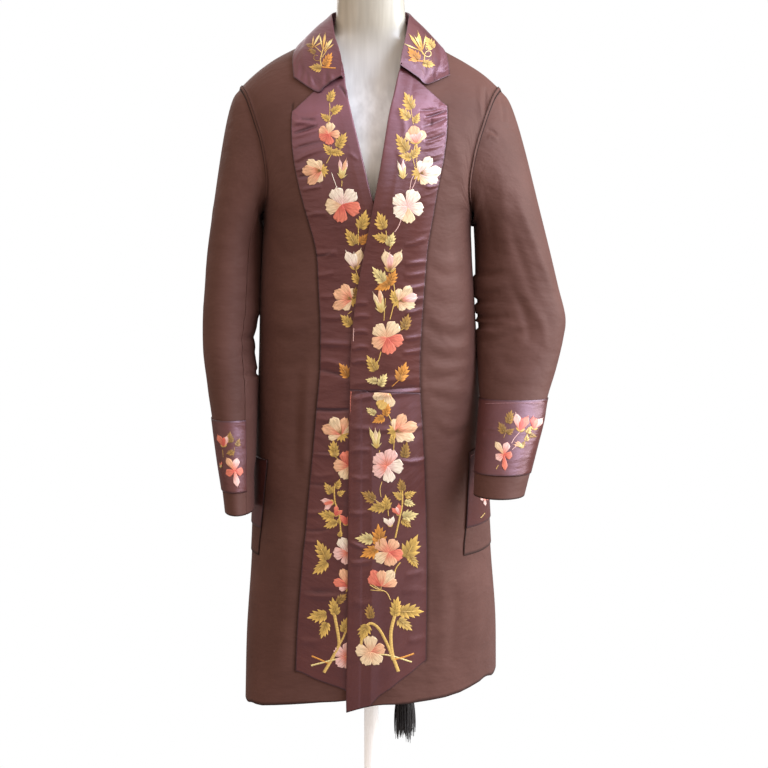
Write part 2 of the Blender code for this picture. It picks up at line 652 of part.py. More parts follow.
def sleeve_grid(side, ring):
    """Rings from the cuff up to the armhole; the cap is a cubic from ring to section."""
    table = SLEEVE_LEFT if side == LEFT else SLEEVE_RIGHT
    angles = ring_angles(ring)
    heights = [row[0] for row in table if row[0] <= SLEEVE_TOP_Z]
    rings = [sleeve_section(side, table, angles, z) for z in heights]
    top_z = heights[-1]
    first = rings[-1]
    outer = 0.5 + 0.5 * np.cos(np.radians(angles))[:, None]
    reach = CAP_REACH[0] + (CAP_REACH[1] - CAP_REACH[0]) * outer
    sink = CAP_SINK[0] + (CAP_SINK[1] - CAP_SINK[0]) * outer
    start_pull = ring + np.array([side, 0, 0]) * reach - np.array([0, 0, 1]) * sink
    end_pull = sleeve_section(side, table, angles, top_z + (ring[:, 2] - top_z) * CAP_PULL)
    for step in np.linspace(1, 0, CAP_ROWS + 1)[1:]:
        f = 1 - step
        rings.append((1 - f)**3 * first + 3 * (1 - f)**2 * f * end_pull
                     + 3 * (1 - f) * f**2 * start_pull + f**3 * ring)
    return np.array(rings)


def make_sleeves(looks, parts, fronts, backs):
    for side in (LEFT, RIGHT):
        ring = armhole_ring(side, fronts[side], backs[side])
        grid = sleeve_grid(side, ring)
        front_seam, back_seam = SLEEVE_SEAMS[side]
        count = grid.shape[1]
        over = [i % count for i in range(back_seam - count, front_seam + 1)]
        under = list(range(front_seam, back_seam + 1))
        outward = np.array([float(side), 0.0, 0.0])
        top = part_seams(grid[:, over])
        below = part_seams(grid[:, under])
        sheet("sleeve_top_" + word(side), top, outward, WALL, looks["faille"], parts)
        sheet("sleeve_under_" + word(side), below, -outward, WALL, looks["faille"], parts)
        patch = moved_out(top, outward, SEAM + SATIN)[CUFF_LOW:CUFF_TOP + 1]
        sheet("cuff_" + word(side), patch, outward, SATIN, looks["satin"], parts)


def part_seams(grid):
    """Draw both side edges of a grid in at the sleeve's seams."""
    moved = grid.copy()
    for edge, inner in ((0, 1), (-1, -2)):
        step = grid[:, inner] - grid[:, edge]
        moved[:, edge] += step / np.linalg.norm(step, axis=-1, keepdims=True) * SLEEVE_SEAM
    return moved


def neckline(side, front, back):
    """Neckline from the gorge to the centre back, as points of the panels."""
    rise = front[GORGE_ROW:TOP_ROW + 1, 0]
    across = back[-1, :BACK_NECK_COLUMNS + 1][::-1]
    return np.concatenate([rise[:-1], across])


def collar_side(side, front, back):
    """Ribs of half the collar: neck seam, roll, fall and outer edge."""
    seam_line = neckline(side, front, back)
    step = np.linalg.norm(np.diff(seam_line, axis=0), axis=1)
    length = np.concatenate([[0], np.cumsum(step)]) / step.sum()
    ribs = []
    for number, row in enumerate(COLLAR_RIBS):
        seam, roll_x, roll_y, roll_z, edge_x, edge_over = row
        foot = np.array([np.interp(seam, length, seam_line[:, k]) for k in range(3)])
        roll = np.array([side * roll_x, roll_y, roll_z])
        foot = foot + (roll - foot) * 0.10
        if number == 0:
            edge = shoulder_point(side, *COLLAR_TIP[side], COLLAR_LIFT)
        else:
            edge = over_shoulder(side, edge_x, edge_over, COLLAR_LIFT)
        ribs.append((foot, roll, edge))
    return ribs


def shoulder_point(side, x, z, lift):
    """A point at x and z on the front of the shoulder, lifted off the cloth."""
    up = (z - ARMPIT_Z) / (float(shoulder_z(side, x)) - ARMPIT_Z)
    return over_shoulder(side, x, math.degrees(math.asin(up)), lift)


def collar_grid(fronts, backs):
    """Whole collar, ribs from the left gorge round the back to the right gorge."""
    made = []
    for side in (LEFT, RIGHT):
        half = []
        for number, (foot, roll, edge) in enumerate(collar_side(side, fronts[side], backs[side])):
            line = [foot, foot + (roll - foot) * 0.55, roll]
            if number == 0:
                notch = shoulder_point(side, *NOTCH[side], COLLAR_LIFT)
                line += [roll + (notch - roll) * f for f in (0.34, 0.67)]
                line += [notch, edge]
            else:
                away = edge - np.array([0.0, 0.0, ARMPIT_Z])
                away /= np.linalg.norm(away)
                for f in (0.25, 0.5, 0.75):
                    line.append(roll + (edge - roll) * f + away * 4 * f * (1 - f) * COLLAR_SWELL)
                line.append(edge)
            half.append(np.array(line))
        made.append(half)
    left, right = made
    return np.array(left + right[-2::-1])


def make_collar(looks, parts, fronts, backs):
    grid = collar_grid(fronts, backs)
    sheet("collar", grid, np.array([0.0, -1.0, 1.0]), SATIN, looks["satin"], parts)


def ring_stack(name, rings, look, into):
    """A closed body from rings of points, with a flat cap on each end."""
    made = bmesh.new()
    loops = [[made.verts.new(p) for p in ring] for ring in rings]
    count = len(loops[0])
    for lower, upper in zip(loops[:-1], loops[1:]):
        for i in range(count):
            j = (i + 1) % count
            made.faces.new((lower[i], lower[j], upper[j], upper[i]))
    made.faces.new(loops[0][::-1])
    made.faces.new(loops[-1])
    bmesh.ops.recalc_face_normals(made, faces=made.faces)
    mesh = bpy.data.meshes.new(name)
    made.to_mesh(mesh)
    made.free()
    mesh.shade_smooth()
    mesh.set_sharp_from_angle(angle=math.radians(50))
    return add_object(name, mesh, look, into)


def make_form(looks, parts):
    turn = np.linspace(0, 2 * math.pi, FORM_SIDES, endpoint=False)
    rings = []
    for z, half, front, back in FORM:
        middle = (front + back) / 2
        deep = (back - front) / 2
        x = half * np.sign(np.cos(turn)) * np.abs(np.cos(turn)) ** FORM_ROUND
        y = middle + deep * np.sign(np.sin(turn)) * np.abs(np.sin(turn)) ** FORM_ROUND
        rings.append(np.stack([x, y, np.full(FORM_SIDES, z)], -1))
    ring_stack("form_torso", rings, looks["form"], parts)

    low, high = BASE_THICK + SEAM, FORM[0][0] - SEAM
    bpy.ops.mesh.primitive_cylinder_add(vertices=20, radius=POLE_RADIUS, depth=high - low,
                                        location=(0.0, 0.0, (low + high) / 2))
    pole = bpy.context.object
    pole.name = pole.data.name = "form_pole"
    pole.data.shade_smooth()
    pole.data.set_sharp_from_angle(angle=math.radians(40))
    pole.data.materials.append(looks["stand"])
    move_to(pole, parts)

    mesh = bpy.data.meshes.new("form_base")
    edges = [(i, i + 1) for i in range(len(BASE_PROFILE) - 1)]
    mesh.from_pydata([(r, 0.0, z) for r, z in BASE_PROFILE], edges, [])
    base = add_object("form_base", mesh, looks["stand"], parts)
    turned = base.modifiers.new("Turn", "SCREW")
    turned.steps = turned.render_steps = BASE_STEPS
    turned.use_merge_vertices = True
    turned.merge_threshold = 0.00005


def move_to(thing, into):
    for old in list(thing.users_collection):
        old.objects.unlink(thing)
    into.objects.link(thing)


def cord_knots():
    """The cord's route in space: each point stands off the left back."""
    route = by_name(CORD_ROUTE, CORD_COLUMNS)
    cloth = depth(LEFT, "back", route["x"], route["z"])
    return np.stack([route["x"], cloth + route["out"], route["z"]], -1)


def smooth_route(knots, count):
    """Evenly spaced points on one smooth curve through a route's own points."""
    step = np.linalg.norm(np.diff(knots, axis=0), axis=1)
    along = np.concatenate([[0], np.cumsum(step)])
    rows = np.column_stack([along, knots])
    names = ("s", "x", "y", "z")
    at = np.linspace(0, along[-1], count)
    return np.stack([column(rows, names, axis, at) for axis in names[1:]], -1)


def make_belt(looks, parts):
    path = smooth_route(cord_knots(), CORD_POINTS)
    curve = bpy.data.curves.new("belt_cord", "CURVE")
    curve.dimensions = "3D"
    curve.bevel_depth = CORD_RADIUS
    curve.bevel_resolution = 2
    curve.use_fill_caps = True
    spline = curve.splines.new("POLY")
    spline.points.add(len(path) - 1)
    spline.points.foreach_set("co", np.column_stack([path, np.ones(len(path))]).ravel())
    add_object("belt_cord", curve, looks["cord"], parts)

    x, y, z = path[0]
    place = (x - SEAM - KNOT_RADIUS, y + KNOT_RADIUS - CORD_RADIUS, z)
    bpy.ops.mesh.primitive_uv_sphere_add(segments=12, ring_count=8, radius=KNOT_RADIUS, location=place)
    knot = bpy.context.object
    knot.name = knot.data.name = "belt_knot"
    knot.data.shade_smooth()
    knot.data.materials.append(looks["cord"])
    move_to(knot, parts)
    make_tassel(path[-1], looks, parts)

    # The loop is a narrow strip sewn to the back above and below the cord
    across = np.linspace(-LOOP_WIDTH / 2, LOOP_WIDTH / 2, 3)
    up = np.linspace(0, 1, 9)
    rise = LOOP_Z[0] + (LOOP_Z[1] - LOOP_Z[0]) * up
    grid = np.zeros((len(up), len(across), 3))
    for j, dx in enumerate(across):
        back = depth(LEFT, "back", np.full(len(up), LOOP_X + dx), rise)
        grid[:, j, 0] = LOOP_X + dx
        grid[:, j, 1] = back + SEAM + WALL + LOOP_RISE * np.sin(math.pi * up) ** 0.8
        grid[:, j, 2] = rise
    sheet("belt_loop", grid, np.array([0.0, 1.0, 0.0]), WALL, looks["faille"], parts)


def make_tassel(top, looks, parts):
    """Head turned from a profile; the strands are drawn out of its underside."""
    x, y = top[:2]
    rings = TASSEL_HEAD + tuple((r, -TASSEL_HEAD_LENGTH) for r in TASSEL_ROOTS)
    turn = np.linspace(0, 2 * math.pi, TASSEL_SIDES, endpoint=False)
    made = bmesh.new()
    loops = []
    for r, below in rings:
        z = np.full(len(turn), TASSEL_TOP_Z + below)
        ring = np.stack([x + r * np.cos(turn), y + r * np.sin(turn), z], -1)
        loops.append([made.verts.new(p) for p in ring])
    made.faces.new(loops[0])
    roots = []
    for level, (upper, lower) in enumerate(zip(loops[:-1], loops[1:])):
        for i in range(TASSEL_SIDES):
            j = (i + 1) % TASSEL_SIDES
            face = made.faces.new((upper[i], upper[j], lower[j], lower[i]))
            if level >= len(TASSEL_HEAD) - 1:
                roots.append(face)
    roots.append(made.faces.new(loops[-1]))
    bmesh.ops.recalc_face_normals(made, faces=made.faces)
    bmesh.ops.inset_individual(made, faces=roots, thickness=0.00035, use_even_offset=True)
    drop = TASSEL_LENGTH - TASSEL_HEAD_LENGTH
    for step, flare in TASSEL_SPREAD:
        fresh = bmesh.ops.extrude_discrete_faces(made, faces=roots)["faces"]
        for number, face in enumerate(fresh):
            middle = face.calc_center_median()
            wave = 0.5 + 0.5 * math.sin(2.4 * number + 1.0)
            length = drop * step * (0.86 + 0.14 * wave)
            for vert in face.verts:
                vert.co.x = x + (middle.x - x) * flare + (vert.co.x - middle.x) * 0.9
                vert.co.y = y + (middle.y - y) * flare + (vert.co.y - middle.y) * 0.9
                vert.co.z -= length
        roots = fresh
    mesh = bpy.data.meshes.new("belt_tassel")
    made.to_mesh(mesh)
    made.free()
    add_object("belt_tassel", mesh, looks["cord"], parts)


def main():
    clear_scene()
    parts = collection("smoking_jacket")
    looks = {
        "faille": material("brown_faille", (0.100, 0.040, 0.034), 0.72, sheen=0.3),
        "satin": material("plum_satin", (0.155, 0.068, 0.082), 0.38, sheen=0.2),
        "cord": material("black_silk", (0.018, 0.015, 0.016), 0.55),
        "form": material("pale_plastic", (0.60, 0.56, 0.50), 0.22),
        "stand": material("white_paint", (0.86, 0.86, 0.85), 0.35),
    }
    fronts = make_fronts(looks, parts)
    backs = make_backs(looks, parts)
    make_sleeves(looks, parts, fronts, backs)
    make_collar(looks, parts, fronts, backs)
    make_form(looks, parts)
    make_belt(looks, parts)


main()
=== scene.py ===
# %% [markdown]
# # A satin-trimmed smoking jacket on a plain dress form
#
# The jacket is brown silk faille with plum satin on its collar, lapels, front bands,
# cuffs and pocket tops, and silk embroidery on the satin. The solids of the packed
# model give every place and size. This script makes the same pieces again as fine
# cloth surfaces, from the same tables of sections, and adds creases, turned edges,
# stitching, weave and light. Everything is in metres, with +Z up; the jacket faces
# -Y and +X is the wearer's left.

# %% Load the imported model
import math

import bpy
import numpy as np
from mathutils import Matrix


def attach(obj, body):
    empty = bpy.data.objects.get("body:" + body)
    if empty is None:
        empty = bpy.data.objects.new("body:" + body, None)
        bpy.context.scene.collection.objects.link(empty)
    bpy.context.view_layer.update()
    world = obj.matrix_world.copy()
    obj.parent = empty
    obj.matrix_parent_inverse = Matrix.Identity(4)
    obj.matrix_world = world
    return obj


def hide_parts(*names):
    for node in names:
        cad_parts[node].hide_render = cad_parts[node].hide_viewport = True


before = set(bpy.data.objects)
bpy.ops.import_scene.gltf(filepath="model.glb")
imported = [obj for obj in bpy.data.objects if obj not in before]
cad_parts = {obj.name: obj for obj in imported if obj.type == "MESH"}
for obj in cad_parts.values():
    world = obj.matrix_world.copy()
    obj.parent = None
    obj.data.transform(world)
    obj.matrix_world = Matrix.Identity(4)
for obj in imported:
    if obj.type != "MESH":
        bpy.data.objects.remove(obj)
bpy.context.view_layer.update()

# %% [markdown]
# ## Camera, floor and light
# The picture was taken from the front, a little above the waist, with the lens tipped
# slightly down. A camera is a place, a turn and a lens. `seen` repeats its projection
# in numpy, so that a later step can ask where a point of cloth falls in the picture.

# %% Camera
PICTURE = 768                   # pixels along a side of the picture
FOCAL = 1408.0                  # focal length, in pixels
HORIZON = 144.0                 # how far above the picture's middle the horizon lies, in pixels
CAMERA = np.array([0.0195, -2.1, 1.078])
CAMERA_DOWN = math.atan(HORIZON / FOCAL)
PIXEL = 0.0015                  # a pixel on the jacket's front, in metres
SENSOR = 36.0


def add_object(name, data):
    """A new object in the scene."""
    made = bpy.data.objects.new(name, data)
    bpy.context.scene.collection.objects.link(made)
    return made


lens = bpy.data.cameras.new("camera")
lens.sensor_width = SENSOR
lens.lens = FOCAL * SENSOR / PICTURE
camera = add_object("camera", lens)
camera.location = CAMERA
camera.rotation_euler = (math.pi / 2 - CAMERA_DOWN, 0.0, 0.0)
bpy.context.scene.camera = camera


def seen(points):
    """Where points fall in the picture: distance from the camera divides both offsets."""
    away = points - CAMERA
    forward = np.array([0.0, math.cos(CAMERA_DOWN), -math.sin(CAMERA_DOWN)])
    upward = np.array([0.0, math.sin(CAMERA_DOWN), math.cos(CAMERA_DOWN)])
    far = away @ forward
    right = PICTURE / 2 + FOCAL * away[..., 0] / far
    down = PICTURE / 2 - FOCAL * (away @ upward) / far
    return np.stack([right, down], -1)


print("the middle of the chest is seen at", seen(np.array([0.0, -0.12, 1.2])))

# %% [markdown]
# The floor and the wall behind it are one white sheet that curves up far behind the
# jacket, as in a photo studio. The camera sees it as pure white, while the jacket gets
# only a dim light from it, so that dark silk stays dark at its edges: a Light Path
# node tells the two apart. A warm room light comes from all sides. Cooler daylight
# comes from the right, high up and from the side, and makes the left front paler
# than the right one.

# %% Nodes and materials
def fill(tree, node, **sockets):
    """Give each named socket its value, or a link where the value is another node's output."""
    for name, value in sockets.items():
        socket = node.inputs[name.replace("_", " ")]
        if isinstance(value, bpy.types.NodeSocket):
            tree.links.new(value, socket)
        else:
            socket.default_value = (*value, 1.0) if socket.type == "RGBA" else value


def add_node(tree, kind, **sockets):
    """A new shader node of a kind, with its sockets filled."""
    made = tree.nodes.new("ShaderNode" + kind)
    fill(tree, made, **sockets)
    return made


def new_material(name, **sockets):
    """A material, its node tree, and the Principled shader in it with its sockets filled."""
    made = bpy.data.materials.new(name)
    made.use_nodes = True
    shader = made.node_tree.nodes["Principled BSDF"]
    fill(made.node_tree, shader, **sockets)
    return made, made.node_tree, shader


def camera_or_not(tree, for_camera, otherwise, output):
    """Send one shader to the camera and another to every other ray."""
    path = add_node(tree, "LightPath")
    mix = add_node(tree, "MixShader", Fac=path.outputs["Is Camera Ray"])
    tree.links.new(otherwise, mix.inputs[1])
    tree.links.new(for_camera, mix.inputs[2])
    tree.links.new(mix.outputs["Shader"], output)


print("kinds of shader node:", sum(kind.startswith("ShaderNode") for kind in dir(bpy.types)))

# %% Studio
SHEET_HALF = 9.0
SHEET_BEND = (2.5, 2.0)         # where the floor starts to curve up, and the curve's radius
SHEET_TOP = 7.0
BEND_STEPS = 17
STUDIO_GREY = (0.25, 0.25, 0.25)    # what the jacket gets back from the sheet
WORLD_LIGHT = 1.0
WHITE = (1.0, 1.0, 1.0)
ROOM = (1.0, 0.78, 0.62)
DAYLIGHT = (0.76, 0.84, 1.0)
LIT = (0.0, 0.0, 1.0)           # every lamp points here, at the jacket's waist
LAMPS = (                       # name, place, width, height, watts, colour
    ("lamp_window", (2.6, -1.6, 3.0), 1.8, 2.0, 148.0, DAYLIGHT),
    ("lamp_side", (3.3, 0.1, 2.0), 1.6, 2.2, 137.0, (0.95, 0.98, 1.0)),
    ("lamp_above", (0.5, -0.5, 3.5), 1.6, 1.6, 9.0, DAYLIGHT),
    ("lamp_left", (-2.2, -1.9, 2.8), 1.6, 1.6, 6.0, DAYLIGHT),
    ("lamp_behind", (-0.8, 2.2, 2.4), 1.8, 1.8, 20.0, WHITE),
)


def together(*arrays):
    """Arrays stretched to one shape, as the coordinates of one array of points."""
    return np.stack(np.broadcast_arrays(*arrays), -1)


def area_lamp(name, place, width, tall, watts, colour):
    """A rectangular lamp that faces the jacket."""
    data = bpy.data.lights.new(name, "AREA")
    data.shape = "RECTANGLE"
    data.size, data.size_y = width, tall
    data.energy, data.color = watts, colour
    lamp = add_object(name, data)
    lamp.location = place
    way = np.array(LIT) - np.array(place)
    tip = math.acos(-way[2] / np.linalg.norm(way))
    lamp.rotation_euler = (tip, 0.0, math.atan2(way[1], way[0]) - math.pi / 2)


bend = np.linspace(0, math.pi / 2, BEND_STEPS)
start, radius = SHEET_BEND
profile_y = np.concatenate([[-SHEET_HALF], start + radius * np.sin(bend), [start + radius]])
profile_z = np.concatenate([[0.0], radius * (1 - np.cos(bend)), [SHEET_TOP]])
sheet_points = together(np.array([-SHEET_HALF, SHEET_HALF]), profile_y[:, None], profile_z[:, None])
sheet_faces = np.arange(len(profile_y) - 1)[:, None] * 2 + np.array([0, 1, 3, 2])
sheet_white, tree, shader = new_material("studio_white", Base_Color=STUDIO_GREY, Roughness=0.9)
camera_or_not(tree, add_node(tree, "Emission").outputs["Emission"], shader.outputs["BSDF"],
              tree.nodes["Material Output"].inputs["Surface"])
studio_mesh = bpy.data.meshes.new("studio_sheet")
studio_mesh.from_pydata(sheet_points.reshape(-1, 3).tolist(), [], sheet_faces.tolist())
studio_mesh.shade_smooth()
studio_mesh.materials.append(sheet_white)
studio = add_object("studio_sheet", studio_mesh)

world = bpy.data.worlds.new("studio_world")
world.use_nodes = True
tree = world.node_tree
dim, bright = tree.nodes["Background"], add_node(tree, "Background", Color=WHITE)
fill(tree, dim, Color=ROOM, Strength=WORLD_LIGHT)
camera_or_not(tree, bright.outputs["Background"], dim.outputs["Background"],
              tree.nodes["World Output"].inputs["Surface"])
bpy.context.scene.world = world
bpy.context.scene.view_settings.view_transform = "Standard"
for lamp in LAMPS:
    area_lamp(*lamp)
print("lamps:", [lamp[0] for lamp in LAMPS])

# %% [markdown]
# ## The jacket's own sizes
# A tailor cuts from a table of measures. These tables are the ones that the solids
# were made from: sections of the body at each height, the rows of the fronts, the
# neck, the sleeves and the collar. They are written in millimetres, a row a line under
# the names of their columns. `column` reads one column at any height, with a smooth
# curve through the rows.

# %% How tables are read
def table(text, plain=()):
    """A text table's columns in metres, by name. Columns in `plain` stay as they are."""
    names, *rows = (line.split() for line in text.splitlines())
    return {name: np.array([float(row[i] + ("" if name in plain else "e-3")) for row in rows])
            for i, name in enumerate(names)}


def numbers(text):
    """The rows of a text table without names or units."""
    return [[float(value) for value in line.split()] for line in text.strip().splitlines()]


print("a table of one row:", table("z half\n400 190"))

# %% Tables of the body
WALL = 0.0016           # silk faille with its interlining
SATIN = 0.0012          # satin pieces that lie on the faille
SEAM = 0.0003           # gap between two pieces where they are sewn together
LEFT, RIGHT = 1, -1     # the wearer's sides, as signs of X
SIDES = (LEFT, RIGHT)
ARMPIT_Z = 1.110
SHOULDER_Y = 0.012      # the shoulder seam lies this far behind the middle
# Front lap: the left front is lifted clear of the right one, its band included
LAP_LIFT = 0.0046
LAP_X = (0.020, 0.085)          # full up to the first distance from the middle, gone past the second
LAP_TOP_Z = (1.130, 1.230)
# Body sections. left and right are the half widths, side_l and side_r the depth of the
# widest point, square_l and square_r the exponent of the front quarters (2 is an
# ellipse, more is squarer).
BODY = table("""z left right front back side_l side_r square_l square_r
 400 196.5 188.5 -128 190 78 -12    2  3.9
 500 193.5 186.5 -127 180 62  -6 2.08  3.3
 600 184.5   180 -126 169 46  -2 2.18  2.8
 700   177 175.5 -125 157 30   0 2.25 2.55
 800   168 171.5 -124 144 20   0 2.35 2.45
 900   160   167 -122 130 12   1 2.45 2.45
1000 153.5   164 -121 121  7   3  2.5  2.5
1060 149.5   161 -123 123  5   4  2.5  2.5
1110   149 158.5 -126 127  5   5  2.5  2.5
1150   158   164 -127 130  6   6  2.5  2.5
1190   172   175 -126 131  8   8  2.5  2.5
1220   182 183.5 -124 131 10  10  2.5  2.5
1250   191 192.5 -122 130 11  11  2.5  2.5
1300   205   206 -118 127 12  12  2.5  2.5
1420   210   210 -108 118 12  12  2.5  2.5""", ("square_l", "square_r"))
# Top of the shoulder, seen from the front
SHOULDER = table("""x left right
  0   1408   1408
 30   1399 1399.5
 50 1388.5   1390
 72   1376 1378.5
 90 1364.8 1368.5
110   1353 1358.2
141   1336   1342
170 1316.8 1321.2
187 1301.5 1305.5
195   1293 1296.5
215   1264   1268""")
NECK_X = 0.072          # the shoulder seam starts here, at the neck
TIP_X = 0.1945          # and ends here, at the sleeve
TRIM_TOP_X = 0.106      # the satin's outer edge is this far out below the shoulder
BACK_SQUARE = 2.4       # exponent of the back quarters
FLUTE = 0.0050          # soft flutes of the back's skirt, two on each side
FLUTE_Z = (0.480, 0.860)        # full below the first height, gone above the second
PASSES = 6              # rounds that settle an X whose height depends on it
print("body sections:", len(BODY["z"]), "from", BODY["z"][0], "to", BODY["z"][-1], "m up")

# %% Tables of the fronts
# Rows of the front panels, from the hem up. front, satin and side are the heights of a
# row at the front edge, at the satin's outer edge and at the side seam; edge and trim
# are the X of the front edge and of the satin's outer edge on the wearer's side.
FRONT_ROWS = {LEFT: table("""front satin side edge trim
 402 413.5  412   -35   80
 393   472  466 -34.8   80
 530   530  530 -32.2 80.6
 619   619  619 -31.2 80.8
 660   660  660 -31.1 80.2
 710   710  710 -30.5   79
 761   761  774 -29.7 77.2
 814   812  816 -29.2   74
 868   862  862 -28.8 70.8
 912   908  908 -27.2 70.2
 955   955  955 -24.2 72.4
1010  1010 1010 -16.5   76
1062  1062 1062  -6.8   80
1110  1110 1110   2.8 87.8"""), RIGHT: table("""front satin side edge trim
412.5  409  401   -12   109
414.8  460  454   -12 107.9
  530  530  530   -12 104.6
  619  619  619   -12  97.5
  660  660  660   -12  92.8
  710  710  710   -12  88.5
  761  761  761   -12  83.4
  803  803  803   -12  79.4
  840  840  840   -12  76.2
  900  900  900   -12  70.8
  955  955  955   -12  70.2
 1010 1010 1010   -12  72.6
 1062 1062 1062 -11.8  75.6
 1110 1110 1110  -9.6    88""")}
POINT_ROW, POCKET_LOW, POCKET_BAND, POCKET_TOP, WAIST_ROW, ARMPIT_ROW = 1, 3, 4, 6, 8, 13
POINT_HEM = 0.0012      # the satin's foot stays this far above the hem
# Rows above the armpit: how far up each one is, as a share of the way to the
# shoulder, at the front edge, the satin's outer edge and the armhole; the
# armhole's X there as a share of the section's half width, front and back.
YOKE_COLUMNS = ("front", "trim", "arm", "arm_front", "arm_back")
YOKE = table("""front trim arm arm_front arm_back
  0.1 0.085 0.055 0.975 0.985
 0.21  0.18  0.13 0.925  0.95
 0.35   0.3  0.24 0.885 0.925
 0.49  0.42  0.37 0.862 0.912
0.625 0.535   0.5 0.858 0.908
0.756  0.64  0.62 0.868  0.91
 0.86  0.77 0.745  0.88 0.914
 0.93  0.88  0.86 0.896  0.92
0.972 0.955 0.945 0.918  0.93
0.997 0.996 0.995 0.938  0.94
    1     1     1     0     0""", YOKE_COLUMNS)
GORGE_ROW = ARMPIT_ROW + 6
TOP_ROW = ARMPIT_ROW + len(YOKE["arm"])
# Roll line and neckline of each front, and its satin's outer edge, above the armpit
NECK = table("""z left_edge left_trim right_edge right_trim
  1090   -2    84 -10.5  82.4
  1110  2.8  87.6  -7.8    88
  1150   11  94.8     3    99
  1190 18.8 102.8  13.2 106.8
  1230 25.2 107.4  23.6 110.4
  1265   33 108.4  32.2 109.7
  1300 41.5   108  38.5 108.6
  1322 45.5   107  40.8   107
  1345   56   105    53   105
  1365   66   103    65   103
1376.5   72   102    72   102""")
# Grid columns
TRIM_COLUMNS = 5        # across the satin
PANEL_COLUMNS = 3       # from the satin to the pocket
POCKET_COLUMNS = 4      # across the pocket, then one more to the side seam
POCKET_START = {LEFT: (46.0, 54.0), RIGHT: (62.0, 55.0)}    # degrees round, at its foot and its top
POCKET_END = {LEFT: 84.0, RIGHT: 85.0}
BACK_NECK_COLUMNS = 3
BACK_COLUMNS = 7
BACK_NECK_Z = 1.372
print("rows of the fronts:", [len(FRONT_ROWS[side]["side"]) for side in SIDES])

# %% Tables of the sleeves and the collar
# Sleeve sections. x_in and x_out are the edges seen from the front, measured
# to the wearer's side; mid and deep are the middle and half of its depth.
# Rows above SLEEVE_TOP_Z only steer the cap.
SLEEVES = {LEFT: table("""z x_in x_out mid deep
 718 146.8   219 -124   44
 749   149 228.5 -110 44.5
 784 152.7 239.5  -93   45
 817   156   250  -76   45
 850   159 257.5  -60   45
 890   160   272  -40   46
 933 159.5   284  -24   47
 965   158   288  -15   49
1010   156 277.5   -8   52
1060   154 265.5   -4   56
1150   150   242    2   62
1250   145   218    8   64"""), RIGHT: table("""z x_in x_out mid deep
 691   168 209.5 -96   53
 723 168.5   214 -89 53.5
 756 169.5   220 -81   54
 789   171 225.5 -72 54.5
 822 172.5 230.5 -63   55
 870 174.5 238.5 -50   56
 920 174.5 245.5 -38   58
 965   173 246.5 -28   60
1010 170.5   244 -20   62
1060   167 240.5 -13   64
1150   160   229  -2   68
1250   150   212   8   68""")}
SLEEVE_TOP_Z = 1.061    # the cap starts at the last section below this
CAP_ROWS = 6            # rings from there up to the armhole
CAP_PULL = 0.45         # share of the rise over which the cap keeps the sections' line
CAP_REACH = (0.006, 0.019)      # how far the cap swells out at the armpit and at the shoulder
CAP_SINK = (0.002, 0.007)       # and how far that swell hangs below the seam
CUFF_LOW, CUFF_TOP = 1, 4       # the cuff patch lies between these sections
SLEEVE_SEAMS = {LEFT: (11, 18), RIGHT: (9, 17)}     # ring points of the front and back seams
# Collar ribs from the gorge to the centre back. seam is the share of the way
# along the neckline; roll is the fold; the outer edge lies over the shoulder
# at edge_x and edge_over degrees, 90 on the shoulder seam and more behind it.
COLLAR_RIBS = table("""seam roll_x roll_y roll_z edge_x edge_over
   0   44 -77.5 1329   110    55
0.17   47   -64 1347 110.5    64
0.34 51.5   -44 1372   108    73
0.47   55   -16 1396   101    84
 0.6 56.5    12 1408    90    97
0.74 50.5    38 1415    71   111
0.87   30    56 1419    39   121
   1    0    62 1420     0 125.5""", ("seam", "edge_over"))
COLLAR_LIFT = 0.0038    # the fall's edge above the cloth that it lies on
COLLAR_SWELL = 0.0036   # how far the fall rounds out between roll and edge
NOTCH = {LEFT: (0.0800, 1.3020), RIGHT: (0.0745, 1.2905)}       # x and z where collar and lapel part
COLLAR_TIP = {LEFT: (0.1120, 1.3110), RIGHT: (0.1075, 1.3070)}
print("sleeve sections:", [len(SLEEVES[side]["z"]) for side in SIDES])
print("collar ribs:", len(COLLAR_RIBS["seam"]))

# %% Read a table at any height
def hermite(f, low, high, low_slope, high_slope, span=1.0):
    """A cubic from `low` to `high` as f goes from 0 to 1, with a given slope at each end."""
    return ((2 * f**3 - 3 * f**2 + 1) * low + (f**3 - 2 * f**2 + f) * span * low_slope
            + (3 * f**2 - 2 * f**3) * high + (f**3 - f**2) * span * high_slope)


def cubic(x, y, at):
    """A smooth curve through points, read at `at`, with the points' own gradient as its slopes."""
    slope = np.gradient(y, x)
    at = np.asarray(at, float)
    i = np.clip(np.searchsorted(x, at) - 1, 0, len(x) - 2)
    span = x[i + 1] - x[i]
    f = np.clip((at - x[i]) / span, 0.0, 1.0)
    return hermite(f, y[i], y[i + 1], slope[i], slope[i + 1], span)


def column(rows, wanted, at):
    """One named column of a table at the values `at` of its first column."""
    return cubic(next(iter(rows.values())), rows[wanted], at)


def body(name, z):
    return column(BODY, name, z)


def word(side):
    return "left" if side == LEFT else "right"


def shoulder_z(side, x):
    """Height of the shoulder seam at a distance x from the middle."""
    return column(SHOULDER, word(side), np.abs(x))


def smooth_step(low, high, value):
    f = np.clip((value - low) / (high - low), 0.0, 1.0)
    return f * f * (3 - 2 * f)


print("the shoulder 0.1 m out is", shoulder_z(LEFT, 0.1), "m up")

# %% Sections of the body
def half_width(side, z):
    return body(word(side), z)


def squareness(side, face, z):
    if face == "back":
        return np.full(np.shape(z), BACK_SQUARE)
    return body("square_l" if side == LEFT else "square_r", z)


def lap_lift(side, x, z):
    """How far the left front stands proud where it laps over the right one."""
    if side == RIGHT:
        return np.zeros(np.shape(x))
    across = 1 - smooth_step(*LAP_X, x)
    return LAP_LIFT * across * (1 - smooth_step(*LAP_TOP_Z, z))


